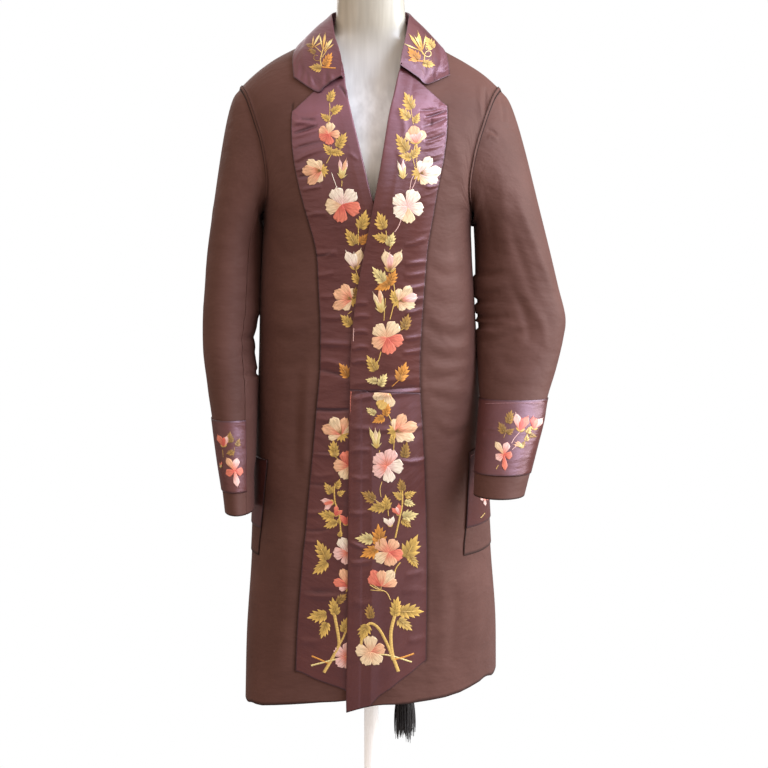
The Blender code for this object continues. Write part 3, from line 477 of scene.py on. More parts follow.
def section_depth(side, face, x, z):
    """Y of a quarter section at x: a superellipse from the middle to the widest point."""
    power = squareness(side, face, z)
    share = np.clip(np.abs(x) / half_width(side, z), 0.0, 1.0)
    widest = body("side_l" if side == LEFT else "side_r", z)
    y = widest + (body(face, z) - widest) * (1 - share**power) ** (1 / power)
    if face == "back":
        y = y + FLUTE * np.sin(3 * math.pi * share) * (1 - smooth_step(*FLUTE_Z, z))
    return y


def height(side, x, up):
    """Z at a share `up` of the way from the armpit to the shoulder seam."""
    return ARMPIT_Z + (shoulder_z(side, x) - ARMPIT_Z) * up


def depth(side, face, x, z):
    """Y of the body's outer surface at x (to the wearer's side) and height z.

    Past the middle, where x is negative, the other side's section holds.
    Above the armpit the depth closes on the shoulder seam as a quarter of an
    ellipse in height.
    """
    y = np.where(x >= 0, section_depth(side, face, x, z), section_depth(-side, face, x, z))
    up = np.clip((z - ARMPIT_Z) / (shoulder_z(side, x) - ARMPIT_Z), 0.0, 1.0)
    y = SHOULDER_Y + (y - SHOULDER_Y) * np.sqrt(1 - up**2)
    if face == "front":
        y = y - lap_lift(side, x, z)
    return y


def round_x(side, face, degrees, z):
    """X at an angle round the quarter section: 0 is the middle, 90 the side."""
    return half_width(side, z) * np.sin(np.radians(degrees)) ** (2 / squareness(side, face, z))


def angle_of(side, face, x, z):
    share = np.clip(x / half_width(side, z), 0.0, 1.0)
    return np.degrees(np.arcsin(share ** (squareness(side, face, z) / 2)))


def points(side, face, x, z):
    """World points of the body surface; x is to the wearer's side."""
    return np.stack([side * x, depth(side, face, x, z), z], -1)


def armhole_x(side, share, up):
    """X of the armhole at a share `up` of the way to the shoulder."""
    x = np.full(np.shape(up), TIP_X)
    for _ in range(PASSES):
        x = half_width(side, height(side, x, up)) * share
    return x


print("half width at the waist:", half_width(LEFT, 0.95), half_width(RIGHT, 0.95))

# %% [markdown]
# ## The belt
# The belt is a black silk cord, threaded through a loop at the back of the waist and
# held by a knot; its tassel hangs below the hem. A twisted cord is two strands wound
# round each other. Seen in section that is a circle with two soft lobes, and the
# lobes turn as the section moves along the route. So the cord is one grid: position
# along the route, angle round it.

# %% Cord, knot and tassel sizes
CORD_RADIUS = 0.0035
# From the knot through the loop and down; out is how far the axis lies above the cloth
CORD_ROUTE = table("""x z out
  15   911 4.6
  28 911.2 4.6
  40 908.5 4.6
  49   901 4.6
53.2   890 4.6
  54   870 4.6
54.1   800 4.4
54.3   700 4.4
54.4   600 4.4
54.2   500 4.4
  54   425 4.4
  54 364.5 5.2""")
KNOT_RADIUS = 0.0085
TASSEL_TOP_Z = 0.3640
TASSEL_LENGTH = 0.128
TASSEL_HEAD_LENGTH = 0.030
TASSEL_HEAD = table("""radius up
 0.4   0.4
   4     0
 7.5  -3.5
 9.5  -8.5
 9.2 -13.5
 6.2 -17.5
 7.8   -20
 9.8 -24.5
10.8   -30""")
LOOP_WIDTH = 0.012
LOOP_X = 0.0300
LOOP_Z = (0.884, 0.938)
LOOP_RISE = 0.0092      # how far the loop stands off the back
print("places along the cord:", len(CORD_ROUTE["x"]))

# %% Lengths and normals of grids
def unit(vectors):
    return vectors / np.maximum(np.linalg.norm(vectors, axis=-1, keepdims=True), 1e-12)


def grid_normals(grid, outward):
    """Unit normals of a grid, turned to the side of the vector `outward`."""
    normal = unit(np.cross(np.gradient(grid, axis=1), np.gradient(grid, axis=0)))
    return -normal if (normal * outward).sum() < 0 else normal


def lengths(line, axis=0):
    """Length along lines of points, 0 at their start."""
    step = np.linalg.norm(np.diff(line, axis=axis), axis=-1)
    start = np.zeros_like(np.take(step, [0], axis))
    return np.concatenate([start, np.cumsum(step, axis=axis)], axis)


def smooth_line(line, count):
    """Evenly spaced points on one smooth curve through a line's own points."""
    along = lengths(line)
    at = np.linspace(0, along[-1], count)
    return np.stack([cubic(along, values, at) for values in line.T], -1)


quarter = np.radians(np.linspace(0, 90, 91))
print("a quarter circle is", lengths(together(np.cos(quarter), np.sin(quarter)))[-1], "radii long")

# %% Meshes from grids
def mesh_from(name, points_in, faces, uv=None, colour=None, shade=None):
    """A mesh of four-sided faces from arrays, with a UV map in metres and a colour or shade a point."""
    mesh = bpy.data.meshes.new(name)
    points_in = np.asarray(points_in, np.float32).reshape(-1, 3)
    mesh.vertices.add(len(points_in))
    mesh.vertices.foreach_set("co", points_in.ravel())
    mesh.loops.add(faces.size)
    mesh.loops.foreach_set("vertex_index", faces.astype(np.int32).ravel())
    mesh.polygons.add(len(faces))
    mesh.polygons.foreach_set("loop_start", np.arange(0, faces.size, 4, dtype=np.int32))
    mesh.update(calc_edges=True)
    mesh.shade_smooth()
    if uv is not None:
        corners = uv.reshape(-1, 2)[faces.ravel()]
        mesh.uv_layers.new(name="cloth").uv.foreach_set("vector", corners.astype(np.float32).ravel())
    if colour is not None:
        layer = mesh.color_attributes.new("thread", "FLOAT_COLOR", "POINT")
        layer.data.foreach_set("color", colour.astype(np.float32).ravel())
    if shade is not None:
        layer = mesh.attributes.new("edge_shade", "FLOAT", "POINT")
        layer.data.foreach_set("value", shade.astype(np.float32))
    mesh.validate()
    return mesh


def grid_faces(rows, columns, closed=False):
    """Corner numbers of every face of a grid; a closed grid joins its last column to its first."""
    number = np.arange(rows * columns).reshape(rows, columns)
    if closed:
        number = np.concatenate([number, number[:, :1]], axis=1)
    return np.stack([number[:-1, :-1], number[:-1, 1:], number[1:, 1:], number[1:, :-1]], -1).reshape(-1, 4)


def place_piece(name, mesh, look, replaces=()):
    """Put a finished mesh in the scene, on the jacket's one body."""
    mesh.materials.append(look)
    made = add_object(name, mesh)
    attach(made, "root")
    if replaces:
        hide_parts(*replaces)
    return made


print("faces of 2 by 3 points:", grid_faces(2, 3).tolist())

# %% Black silk
def uv_node(tree):
    uv = add_node(tree, "UVMap")
    uv.uv_map = "cloth"
    return uv.outputs["UV"]


def bump_node(tree, value, strength, distance, **more):
    bump = add_node(tree, "Bump", Height=value, Strength=strength, Distance=distance, **more)
    return bump.outputs["Normal"]


THREAD = 0.0008                 # pitch of the cord's threads
black_silk, tree, shader = new_material("black_silk", Base_Color=(0.014, 0.011, 0.012), Roughness=0.5,
                                        Sheen_Weight=0.12)
threads = add_node(tree, "TexWave", Vector=uv_node(tree), Scale=0.31 / THREAD, Distortion=0.6)
fill(tree, shader, Normal=bump_node(tree, threads.outputs["Fac"], 0.5, 0.0004))
print("the cord's look:", black_silk.name)

# %% Belt cord
CORD_TURN = 0.016               # length of one turn of the twist
CORD_LOBE = 0.0009              # depth of the groove between its two strands
CORD_SIDES = 14
CORD_STEPS = 520
CORD_WRAP = 0.02                # length round the cord in its UV map


def twisted(path, radius, lobe_depth):
    """A grid round a path: a circle with two lobes that turn once each CORD_TURN of length, and that length.

    The section's own axes are carried along the path: sideways is the path's direction
    crossed with a fixed vector that it never lies along.
    """
    along = unit(np.gradient(path, axis=0))
    side = unit(np.cross(along, np.array([0.31, 0.93, 0.2])))
    other = np.cross(along, side)
    length = lengths(path)
    turn = np.linspace(0, 2 * math.pi, CORD_SIDES, endpoint=False)
    twist = 2 * turn - 2 * math.pi * length[:, None] / CORD_TURN
    size = radius - lobe_depth * (0.5 - 0.5 * np.cos(twist))
    ring = size[..., None] * (np.cos(turn)[:, None] * side[:, None] + np.sin(turn)[:, None] * other[:, None])
    return path[:, None] + ring, length


def silk_tube(name, path, radius, lobe_depth, node):
    """A piece of twisted cord along a path, in a solid's place, and its length."""
    grid, along = twisted(path, radius, lobe_depth)
    faces = grid_faces(len(path), CORD_SIDES, closed=True)[:, ::-1]
    uv = together(along[:, None], np.linspace(0, CORD_WRAP, CORD_SIDES))
    print(name, "faces:", len(faces))
    return place_piece(name, mesh_from(name, grid, faces, uv), black_silk, [node]), along[-1]


route_x, route_z, route_out = CORD_ROUTE.values()
route = together(route_x, depth(LEFT, "back", route_x, route_z) + route_out, route_z)
cord_path = smooth_line(route, CORD_STEPS)
belt_cord, cord_length = silk_tube("belt_cord_silk", cord_path, CORD_RADIUS, CORD_LOBE, "belt_cord")
print("cord length", round(float(cord_length), 3), "m")

# %% [markdown]
# The tassel's head is turned: a profile carried round an axis, with a bound neck. The
# strands are thin three-sided threads that hang from under the head, spread a little
# and end unevenly, with two longer locks as a worn tassel has. One array holds all
# strands: strand number, step along the strand, corner of its section.

# %% Tassel
STRANDS = 240
STRAND_STEPS = 9
STRAND_RADIUS = 0.0009
STRAND_OVERLAP = 0.001          # the strands start this far up inside the head
ROOT_RADIUS = 0.0105            # and this far from its middle at most
LONG_LOCKS = (2.6, 5.4)         # where round the tassel the two longer locks hang
HEAD_STEPS, HEAD_SIDES = 46, 48
random = np.random.default_rng(11)


def turned_profile(profile, place, sides, ridges, ridge):
    """A profile of radius and height carried round a vertical axis, with ridges round it."""
    turn = np.linspace(0, 2 * math.pi, sides, endpoint=False)
    size = profile[:, :1] * (1 + ridge * np.cos(ridges * turn))
    return together(place[0] + size * np.cos(turn), place[1] + size * np.sin(turn), place[2] + profile[:, 1:])


place = np.array([*cord_path[-1][:2], TASSEL_TOP_Z])
head = smooth_line(np.stack(list(TASSEL_HEAD.values()), -1), HEAD_STEPS)
head = np.concatenate([head, [[0.0085, -TASSEL_HEAD_LENGTH], [0.0003, -TASSEL_HEAD_LENGTH]]])
head_grid = turned_profile(head, place, HEAD_SIDES, ridges=24, ridge=0.02)
head_uv = together(np.linspace(0, 0.05, len(head))[:, None], np.linspace(0, 0.06, HEAD_SIDES))
head_faces = grid_faces(len(head), HEAD_SIDES, closed=True)

angle = random.uniform(0, 2 * math.pi, STRANDS)
root = ROOT_RADIUS * np.sqrt(random.uniform(0.04, 1.0, STRANDS))
lock = np.exp(-((angle - LONG_LOCKS[0]) / 0.35) ** 2) + np.exp(-((angle - LONG_LOCKS[1]) / 0.35) ** 2)
reach = ((TASSEL_LENGTH - TASSEL_HEAD_LENGTH - STRAND_OVERLAP)
         * (0.74 + 0.10 * random.uniform(0, 1, STRANDS) + 0.16 * np.clip(lock, 0, 1)))
step = np.linspace(0, 1, STRAND_STEPS)
swell = 1 + 0.68 * np.sin(step * math.pi * 0.52)[None] + 0.12 * (random.uniform(-1, 1, (STRANDS, 1)) * step)
drift = random.uniform(-0.0016, 0.0016, (STRANDS, 1)) * np.sin(step * math.pi)
strand_x = place[0] + root[:, None] * swell * np.cos(angle)[:, None] + drift
strand_y = place[1] + root[:, None] * swell * np.sin(angle)[:, None] - drift
strand_z = place[2] - TASSEL_HEAD_LENGTH + STRAND_OVERLAP - reach[:, None] * step
corner = np.arange(3) * 2 * math.pi / 3
thin = (STRAND_RADIUS * (1 - 0.55 * step ** 3))[None, :, None]
strand = together(strand_x[..., None] + thin * np.cos(corner), strand_y[..., None] + thin * np.sin(corner),
                  strand_z[..., None])
strand_uv = together(step[None, :, None] * 0.1, np.zeros((STRANDS, 1, 3)))
first = len(head) * HEAD_SIDES + (np.arange(STRANDS) * STRAND_STEPS * 3)[:, None, None]
strand_faces = (grid_faces(STRAND_STEPS, 3, closed=True)[None] + first).reshape(-1, 4)
tassel_mesh = mesh_from("tassel_silk", np.concatenate([head_grid.reshape(-1, 3), strand.reshape(-1, 3)]),
                        np.concatenate([head_faces, strand_faces])[:, ::-1],
                        np.concatenate([head_uv.reshape(-1, 2), strand_uv.reshape(-1, 2)]))
tassel = place_piece("tassel_silk", tassel_mesh, black_silk, ["belt_tassel"])
print("tassel strands:", STRANDS, "faces:", len(tassel_mesh.polygons))

# %% [markdown]
# The knot at the cord's upper end is a real one, an overhand knot pulled tight. Its
# line is a closed trefoil, three crossings round a middle, and the same tube formula
# goes round it. The loop that carries the cord is a narrow strip of faille, sewn down
# above and below.

# %% Knot
KNOT_SCALE = 0.0020
KNOT_TUBE = 0.0026
KNOT_LOBE = 0.0006
KNOT_STEPS = 150
turn = np.linspace(0, 2 * math.pi, KNOT_STEPS + 1)
trefoil = KNOT_SCALE * np.stack([np.sin(turn) + 2 * np.sin(2 * turn), -np.sin(3 * turn),
                                 np.cos(turn) - 2 * np.cos(2 * turn)], -1)
knot_middle = cord_path[0] + np.array([-SEAM - KNOT_RADIUS, KNOT_RADIUS - CORD_RADIUS, 0.0])
silk_tube("knot_silk", trefoil + knot_middle, KNOT_TUBE, KNOT_LOBE, "belt_knot")

# %% [markdown]
# ## From coarse sections to fine cloth
# The solids have a row of points every few centimetres. Cloth needs one every two
# millimetres, to carry creases. A cubic curve through the coarse points gives the
# points between them, first along the rows and then across them.
#
# Above the armpit a panel bends over the shoulder. There each point keeps its share
# of the way up as an angle, and its height is the sine of that angle. Evenly spaced
# angles give an evenly round shoulder, where evenly spaced heights would not.

# %% Finer grids
def through(at, values):
    """Smooth curve through values at 0, 1, 2 and so on along the first axis, read at `at`.

    A slope is at most three times the smaller of the two steps beside it, so that the
    curve doesn't swing out where rows lie close together.
    """
    step = np.abs(np.diff(values, axis=0))
    least = np.minimum(np.concatenate([step[:1], step]), np.concatenate([step, step[-1:]]))
    slope = np.clip(np.gradient(values, axis=0), -3 * least, 3 * least)
    i = np.clip(np.floor(at).astype(int), 0, len(values) - 2)
    f = (at - i).reshape((-1,) + (1,) * (values.ndim - 1))
    return hermite(f, values[i], values[i + 1], slope[i], slope[i + 1])


def refined(grid, steps):
    """A grid with that many steps for each step of its rows."""
    return through(np.linspace(0, len(grid) - 1, (len(grid) - 1) * steps + 1), grid)


def finer(grid, row_steps, column_steps):
    return refined(refined(grid, row_steps).swapaxes(0, 1), column_steps).swapaxes(0, 1)


print("0, 1 and 4 made finer:", refined(np.array([0.0, 1.0, 4.0]), 2))

# %% Hem
# Where the hem is seen, in pixels. It isn't moved near the side seams, where it meets the back
# In each table x is the first line and y the second.
HEM = {LEFT: numbers("""
  346   353   364   374 383   398   408   418   430   445   460   470   480   490
712.9 710.7 707.9 705.8 705 704.7 703.9 702.2 700.3 697.3 692.3 687.2 681.2 671.5"""), RIGHT: numbers("""
  250 255   262   275   290   305   320   336   346   356
701.5 704 705.4 705.2 704.6 703.7 702.6 701.9 700.9 700.5""")}
HEM_FREE = {LEFT: (494.0, 480.0), RIGHT: (248.0, 262.0)}


def hem_as_seen(side, grid):
    """Move the lowest row up or down until it is seen where the photo's hem is."""
    x, y = HEM[side]
    for _ in range(2):
        place = seen(grid[0])
        free = smooth_step(*HEM_FREE[side], place[:, 0])
        grid[0, :, 2] += (place[:, 1] - np.interp(place[:, 0], x, y)) * PIXEL * free


def even_foot(grid, rows):
    """Between the hem and the satin's foot the rows lie too close together for a cubic curve, so they are
    spread evenly."""
    foot = grid[rows].copy()
    foot[:, 2] = np.maximum(foot[:, 2], grid[0, :, 2] + POINT_HEM)
    share = np.linspace(0, 1, rows + 1)[:, None, None]
    grid[:rows + 1] = grid[0] * (1 - share) + foot * share
    return grid


print("the hem is seen at", min(HEM[LEFT][1]), "to", max(HEM[LEFT][1]), "on the left")

# %% Smooth panels
PANEL_SEAM = 0.0001             # fine panels close their seams, which the solids leave open


def smooth_panel(side, face, coarse, row_steps, column_steps):
    """A body panel's fine grid. Each point keeps its angle up the shoulder and, away from the middle,
    its angle round the section, so that both panels end on the same side seam."""
    x, z = side * coarse[..., 0], coarse[..., 2]
    share = (z - ARMPIT_Z) / (shoulder_z(side, x) - ARMPIT_Z)
    turn = np.where(share > 0, np.arcsin(np.clip(share, 0, 1)), share)
    angle = angle_of(side, face, np.maximum(x, 0), z)
    angle[:, -1] = np.where(share[:, -1] <= 0, 90.0, angle[:, -1])
    fine = finer(np.stack([x, turn, angle], -1), row_steps, column_steps)
    flat_x, turn, angle = fine[..., 0], np.minimum(fine[..., 1], math.pi / 2), np.clip(fine[..., 2], 0, 90)
    up = np.where(turn > 0, np.sin(turn), turn)
    x = flat_x
    for _ in range(PASSES):
        z = height(side, x, up)
        outer = smooth_step(0.45, 0.75, flat_x / half_width(side, z))
        x = flat_x * (1 - outer) + round_x(side, face, angle, z) * outer
    grid = points(side, face, x, height(side, x, up))
    rows, columns = grid.shape[:2]
    near_top = smooth_step(0.985, 1.0, np.linspace(0, 1, rows))[:, None]
    near_side = smooth_step(0.96, 1.0, np.linspace(0, 1, columns))
    grid[..., 1] += (-PANEL_SEAM if face == "front" else PANEL_SEAM) * np.maximum(near_top, near_side)
    if face == "front":
        hem_as_seen(side, grid)
    return even_foot(grid, POINT_ROW * row_steps)


print("gap at a fine side seam:", 2 * PANEL_SEAM)

# %% [markdown]
# A cut edge of cloth is turned under. Seen in section, that is a half circle from the
# outer face to the inner one and then a narrow flat strip inside. `cloth_piece` puts
# such a rim all round a grid: first the edge is drawn in by the rim's radius, easing
# off inwards, so that the rim ends where the cut edge was. The rim is a grid too:
# angle round the half circle, place along the edge. A piece keeps the lengths along
# its own rows and columns as a UV map in metres, so a weave follows the cloth.

# %% Turned edges
RIM_ARC = np.radians([30.0, 65.0, 100.0, 140.0, 180.0])


def drawn_in(grid, amount, over):
    """The grid with its edge moved inwards by `amount`, easing off at a distance `over` from the edge."""
    made = grid.copy()
    for axis in (0, 1):
        lines = np.moveaxis(made, axis, 0)
        along = lengths(lines)
        start = unit(lines[1] - lines[0]) * np.clip(1 - along / over, 0, 1)[..., None]
        end = unit(lines[-2] - lines[-1]) * np.clip(1 - (along[-1] - along) / over, 0, 1)[..., None]
        lines += (start + end) * amount
    return made


def cloth_uv(grid):
    """Lengths along the rows and up the columns of a grid, in metres."""
    return np.stack([lengths(grid, 1), lengths(grid)], -1)


def edge_loop(values):
    """A grid's values once round its edge: first row, last column, last row, first column."""
    return np.concatenate([values[0, :-1], values[:-1, -1], values[-1, :0:-1], values[:0:-1, 0]])


def corner_distance(edge, rows, columns):
    """How far each point of a grid's edge loop is from the nearest corner, along the loop."""
    along = lengths(np.concatenate([edge, edge[:1]]))
    corners = np.cumsum([0, columns - 1, rows - 1, columns - 1, rows - 1])
    return np.abs(along[:-1, None] - along[corners]).min(1)


def rim_rings(grid, normals, radius, reach):
    """Rings beyond a grid's edge. A point at angle a round the rim lies r sin a outwards and
    r (1 - cos a) under the edge; the last ring lies inside, `reach` back from the edge or less at a
    corner. Outwards is the edge's own line crossed with the normal."""
    edge, normal = edge_loop(grid), edge_loop(normals)
    away = unit(np.cross(np.roll(edge, -1, 0) - np.roll(edge, 1, 0), normal))
    away = away * np.sign(((edge - grid.mean((0, 1))) * away).sum())
    r = np.asarray(radius) * np.ones(len(edge))
    turn = RIM_ARC[:, None]
    arcs = (edge + (r * np.sin(turn))[..., None] * away - (r * (1 - np.cos(turn)))[..., None] * normal)
    back = np.minimum(reach, 0.0003 + 0.6 * corner_distance(edge, *grid.shape[:2]))
    return np.concatenate([arcs, (arcs[-1] - away * back[:, None])[None]])


print("rings round a turned edge:", len(RIM_ARC) + 1)

# %% Whole pieces of cloth
def edge_shade(grid, dark):
    """1 on open cloth and 0 at a sewn edge. `dark` gives how wide the shade is along the first column,
    the last column, the first row and the last row."""
    uv = cloth_uv(grid)
    far = uv[..., 0], uv[:, -1:, 0] - uv[..., 0], uv[..., 1], uv[-1:, :, 1] - uv[..., 1]
    made = np.ones(grid.shape[:2])
    for distance, width in zip(far, dark):
        if width:
            made = np.minimum(made, smooth_step(0, width, distance))
    return made


def cloth_arrays(grid, outward, radius, reach, shade):
    """Points, faces, UV and shade of a piece of cloth with its edge turned under."""
    rows, columns = grid.shape[:2]
    normals = grid_normals(grid, outward)
    uv = cloth_uv(grid)
    rings = rim_rings(grid, normals, radius, reach)
    count = rings.shape[1]
    first = edge_loop(np.arange(rows * columns).reshape(rows, columns))
    beyond = rows * columns + np.arange(rings.shape[0] * count).reshape(-1, count)
    number = np.concatenate([first[None], beyond])
    number = np.concatenate([number, number[:, :1]], axis=1)
    rim = np.stack([number[:-1, :-1], number[1:, :-1], number[1:, 1:], number[:-1, 1:]], -1).reshape(-1, 4)
    faces = np.concatenate([grid_faces(rows, columns), rim])
    corner = grid.reshape(-1, 3)[faces[rows * columns // 2]]
    across = np.cross(corner[2] - corner[0], corner[3] - corner[1])
    if np.dot(across, normals.reshape(-1, 3)[faces[rows * columns // 2][0]]) < 0:
        faces = faces[:, ::-1]
    points_in = np.concatenate([grid.reshape(-1, 3), rings.reshape(-1, 3)])
    uv = np.concatenate([uv.reshape(-1, 2), np.tile(edge_loop(uv), (rings.shape[0], 1))])
    shade = np.concatenate([shade.ravel(), np.tile(edge_loop(shade), rings.shape[0])])
    return points_in, faces, uv, None, shade


def cloth_piece(name, grid, outward, look, node, radius=0.0008, reach=0.006,
                dark=(0, 0, 0, 0), shade=1.0):
    """Make a piece of cloth in a CAD node's place, with its edges turned under, and painted shade where
    `dark` and `shade` give it.
    """
    mesh = mesh_from(name, *cloth_arrays(grid, outward, radius, reach, shade * edge_shade(grid, dark)))
    made = place_piece(name, mesh, look, [node])
    uv = cloth_uv(grid)
    return made

# %% [markdown]
# ## Creases
# Creases are listed one line of a table for each: a bent line through three
# places, how wide and how high. A positive height is a ridge and a negative one a
# trough. Each adds a bell curve of the distance to its line, and fades out at both
# ends. Places on the front are in the picture's pixels, as `seen` gives them. Places
# on the back are in millimetres, across and up, because no picture shows them.

# %% Relief
CREASE_SEGMENTS = 8


def relief(place, creases):
    """Heights in metres: each crease adds high * exp(-(distance / wide)^2) * fade towards its ends."""
    total = np.zeros(place.shape[:-1])
    share = np.linspace(0, 1, CREASE_SEGMENTS + 1)[:, None]
    for x0, y0, xm, ym, x1, y1, wide, high in creases:
        start, middle, end = np.array([x0, y0]), np.array([xm, ym]), np.array([x1, y1])
        pull = 2 * middle - (start + end) / 2
        line = (1 - share)**2 * start + 2 * share * (1 - share) * pull + share**2 * end
        near = ((place > line.min(0) - 3 * wide) & (place < line.max(0) + 3 * wide)).all(-1)
        here = place[near][:, None]
        step = line[1:] - line[:-1]
        along = ((here - line[:-1]) * step).sum(-1) / (step * step).sum(-1)
        held = np.clip(along, 0, 1)
        away = np.linalg.norm(here - line[:-1] - held[..., None] * step, axis=-1)
        best = away.argmin(1)[:, None]
        way = (best[:, 0] + np.take_along_axis(held, best, 1)[:, 0]) / CREASE_SEGMENTS
        fade = np.clip(4 * way * (1 - way), 0, 1) ** 0.5
        distance = np.take_along_axis(away, best, 1)[:, 0]
        total[near] += high * 0.001 * np.exp(-(distance / wide)**2) * fade
    return total


PUCKERED_Z = (1.02, 1.16)       # puckers are low below the first height and full above the second


def edge_puckers(grid, seed, spacing, high):
    """Short ridges that run in from a satin piece's outer edge: a bell curve up the edge, fading inwards."""
    chance = np.random.default_rng(seed)
    uv = cloth_uv(grid)
    inwards, upward = uv[:, -1:, 0] - uv[..., 0], uv[..., 1]
    lift = np.zeros(inwards.shape)
    for at in np.arange(spacing, upward.max(), spacing):
        place = at + chance.uniform(-0.4, 0.4) * spacing
        lean, wide, reach = (chance.uniform(*between)
                             for between in ((-0.35, 0.1), (0.0018, 0.0034), (0.014, 0.040)))
        ridge = np.exp(-((upward - place - lean * inwards) / wide)**2) * np.exp(-(inwards / reach)**2)
        lift += ridge * high * chance.uniform(0.3, 1.0)
    return lift * (0.35 + 0.65 * smooth_step(*PUCKERED_Z, grid[..., 2]))


def facing_camera(grid, normals):
    """1 where cloth faces the camera and -1 where it faces away, easing through 0 between."""
    return np.clip((normals * unit(CAMERA - grid)).sum(-1) * 4, -1, 1)


def from_behind(grid):
    """Places on the back, in millimetres across (to the wearer's left) and up."""
    return grid[..., [0, 2]] * 1000


middle_lift = relief(np.array([[5.0, 0.0]]), [(0, 0, 5, 0, 10, 0, 2.0, 1.0)])
print("height on the middle of a crease 1 mm high:", middle_lift)

# %% Creases of the faille, in the picture
# x and y of a crease's start, middle and end, its width, and its height in millimetres
FRONT_CREASES = {LEFT: numbers("""
  424 322 448 338 470 328   5 -2.2
  426 312 450 325 470 317 4.5  1.6
  430 352 450 360 470 355 4.5   -2
  428 343 450 349 470 343 4.5  1.4
  424 381 442 379 466 372 4.5 -1.8
  426 371 446 371 468 364   4  1.2
  432 396 450 402 470 401 4.5 -1.8
  428 298 446 306 468 300   4 -1.4
  430 268 448 276 468 270   4 -1.2
  430 258 450 264 468 259   4    1
  428 365 440 366 452 363 2.4  1.2
  440 332 455 346 470 340 2.6  1.3
  430 388 450 391 470 389   4  1.4
  434 426 453 437 471 424   4 -1.8
  434 417 453 426 471 414 4.5  1.4
  456 590 456 616 451 664   6   -2
  440 560 442 610 440 668   7  1.8
  475 590 478 630 470 676   8  2.2
  446 120 462 170 466 215   7  1.4
  455 232 458 262 466 290   5 -1.3
  487 118 482 150 470 190   5 -1.6
485.5  88 486 108 487 127 1.4 -2.2
  480  84 481 104 482 124   3  1.5"""), RIGHT: numbers("""
309 362 306 420 305 472 5  2.4
299 372 296 425 296 480 5 -1.8
284 362 276 430 270 500 9  1.6
266 362 284 366 306 360 4 -1.5
270 330 288 340 308 334 5 -1.5
270 318 288 326 308 322 5  1.2
264 288 280 300 300 300 5 -1.2
288 520 286 600 280 680 8  2.2
270 540 266 610 262 690 7   -2
262 150 276 190 282 240 7  1.4
266 196 272 232 290 262 5 -1.3""")}
SLEEVE_CREASES = {LEFT: numbers("""
478 271 490 275 502 270   3 -1.8
476 283 490 287 508 281 3.5  1.6
477 293 488 296 500 292 2.6 -1.8
478 303 488 306 498 302 2.6  1.3
479 315 492 320 508 314 3.2   -2
480 327 494 332 514 324   4  1.8
484 345 498 348 516 338   4 -1.6
516 196 538 253 553 292   5  2.4
505 215 522 262 534 296   6   -2
509 286 524 312 530 344   5 -2.2
524 300 541 322 545 352   5  1.8
498 170 506 220 509 262   7  1.5
484 190 490 228 494 258   5 -1.5
487 130 492 131 497 136 1.4 -1.7
488 138 492 136 498 141 1.6  1.6
500  98 503 110 503 122 1.5 -1.1
506 100 508 114 508 128   2    1
500 356 516 366 540 360   5 -1.6
496 372 515 380 540 372   5  1.4
482 429 489 427 498 431 1.4    1
484 434 492 433 500 436 1.6 -0.9
486 455 492 458 498 458 1.3  0.8
476 262 492 268 512 262   3  1.2
477 338 496 340 522 330   3 -1.4
500 300 520 304 540 296   4 -1.2
496 318 518 326 546 318   4  1.2"""), RIGHT: numbers("""
252 268 242 276 232 273 3.4 -0.6
254 292 244 300 234 296 3.2 -0.6
256 334 248 338 240 336   3 -0.8
254 352 246 354 238 351   3 -0.6
233 130 224 190 216 250   8    1
224 236 214 290 210 350   9  0.8
232 150 226 152 222 156   3 -0.6
214 374 228 384 246 378   6 -0.7
212 390 228 400 250 394   6  0.7""")}
print("creases of the fronts:", [len(FRONT_CREASES[side]) for side in SIDES],
      "and of the sleeves:", [len(SLEEVE_CREASES[side]) for side in SIDES])

# %% Creases of the hidden sides, in millimetres
BACK_CREASES = numbers("""
-150 1300  -60 1270  -20 1285 16  1.6
 150 1300   60 1268   20 1285 16  1.6
-140 1235  -80 1180  -60 1120 18   -2
 138 1240   84 1185   62 1118 18   -2
-130 1010  -70  985  -20 1000 12 -1.8
 130 1006   66  980   16  996 12 -1.8
-130  980  -72  958  -24  968 12  1.6
 128  972   66  950   18  962 12  1.6
-120  945  -74  930  -30  938 10 -1.4
 118  938   68  920   60  930 10 -1.2
 -60  860  -70  640  -78  420 20  2.4
-112  860 -126  640 -140  420 18   -2
  92  860  104  640  118  420 20  2.4
 140  860  150  640  162  420 16 -1.8""")
BACK_SLEEVE_CREASES = numbers("""
200 1150 232 1120 250 1080  9    2
185 1080 215 1062 250 1060  7   -2
182 1050 215 1035 255 1036  7  1.8
182 1022 215 1008 258 1014  6   -2
180  990 216  976 262  986  7    2
180  955 220  944 268  952  7 -1.6
200  900 232  860 240  810 10  1.8
180  880 196  840 200  790  9 -1.6""")
print("creases behind:", len(BACK_CREASES), "and on the sleeves:", len(BACK_SLEEVE_CREASES))

# %% [markdown]
# ## Faille and satin
# Faille is a silk with fine raised ribs across the cloth; its warp and weft here
# differ in colour, so the brown turns a little mauve where it catches light. The ribs
# are bands along the UV map, as bump, and slower bands and noise give the slubs. Satin
# has no ribs: its long threads run down the piece, so it mirrors light in one direction
# more than in the other, and shines where a fold tips it upwards. High on the chest,
# where the satin tilts to the light, its colour also has a painted highlight.
#
# Where a piece is sewn down or turned under it looks darker, for light doesn't reach
# into the seam. That shade is painted: `edge_shade` holds it as one number a point, and
# both cloths darken their colour by it.

# %% Parts of materials
def noise_node(tree, vector, scale, detail, stretch=None):
    """Noise on a vector, in features a metre, optionally squeezed along its axes."""
    if stretch:
        vector = add_node(tree, "Mapping", Vector=vector, Scale=stretch).outputs["Vector"]
    return add_node(tree, "TexNoise", Vector=vector, Scale=scale, Detail=detail).outputs["Fac"]


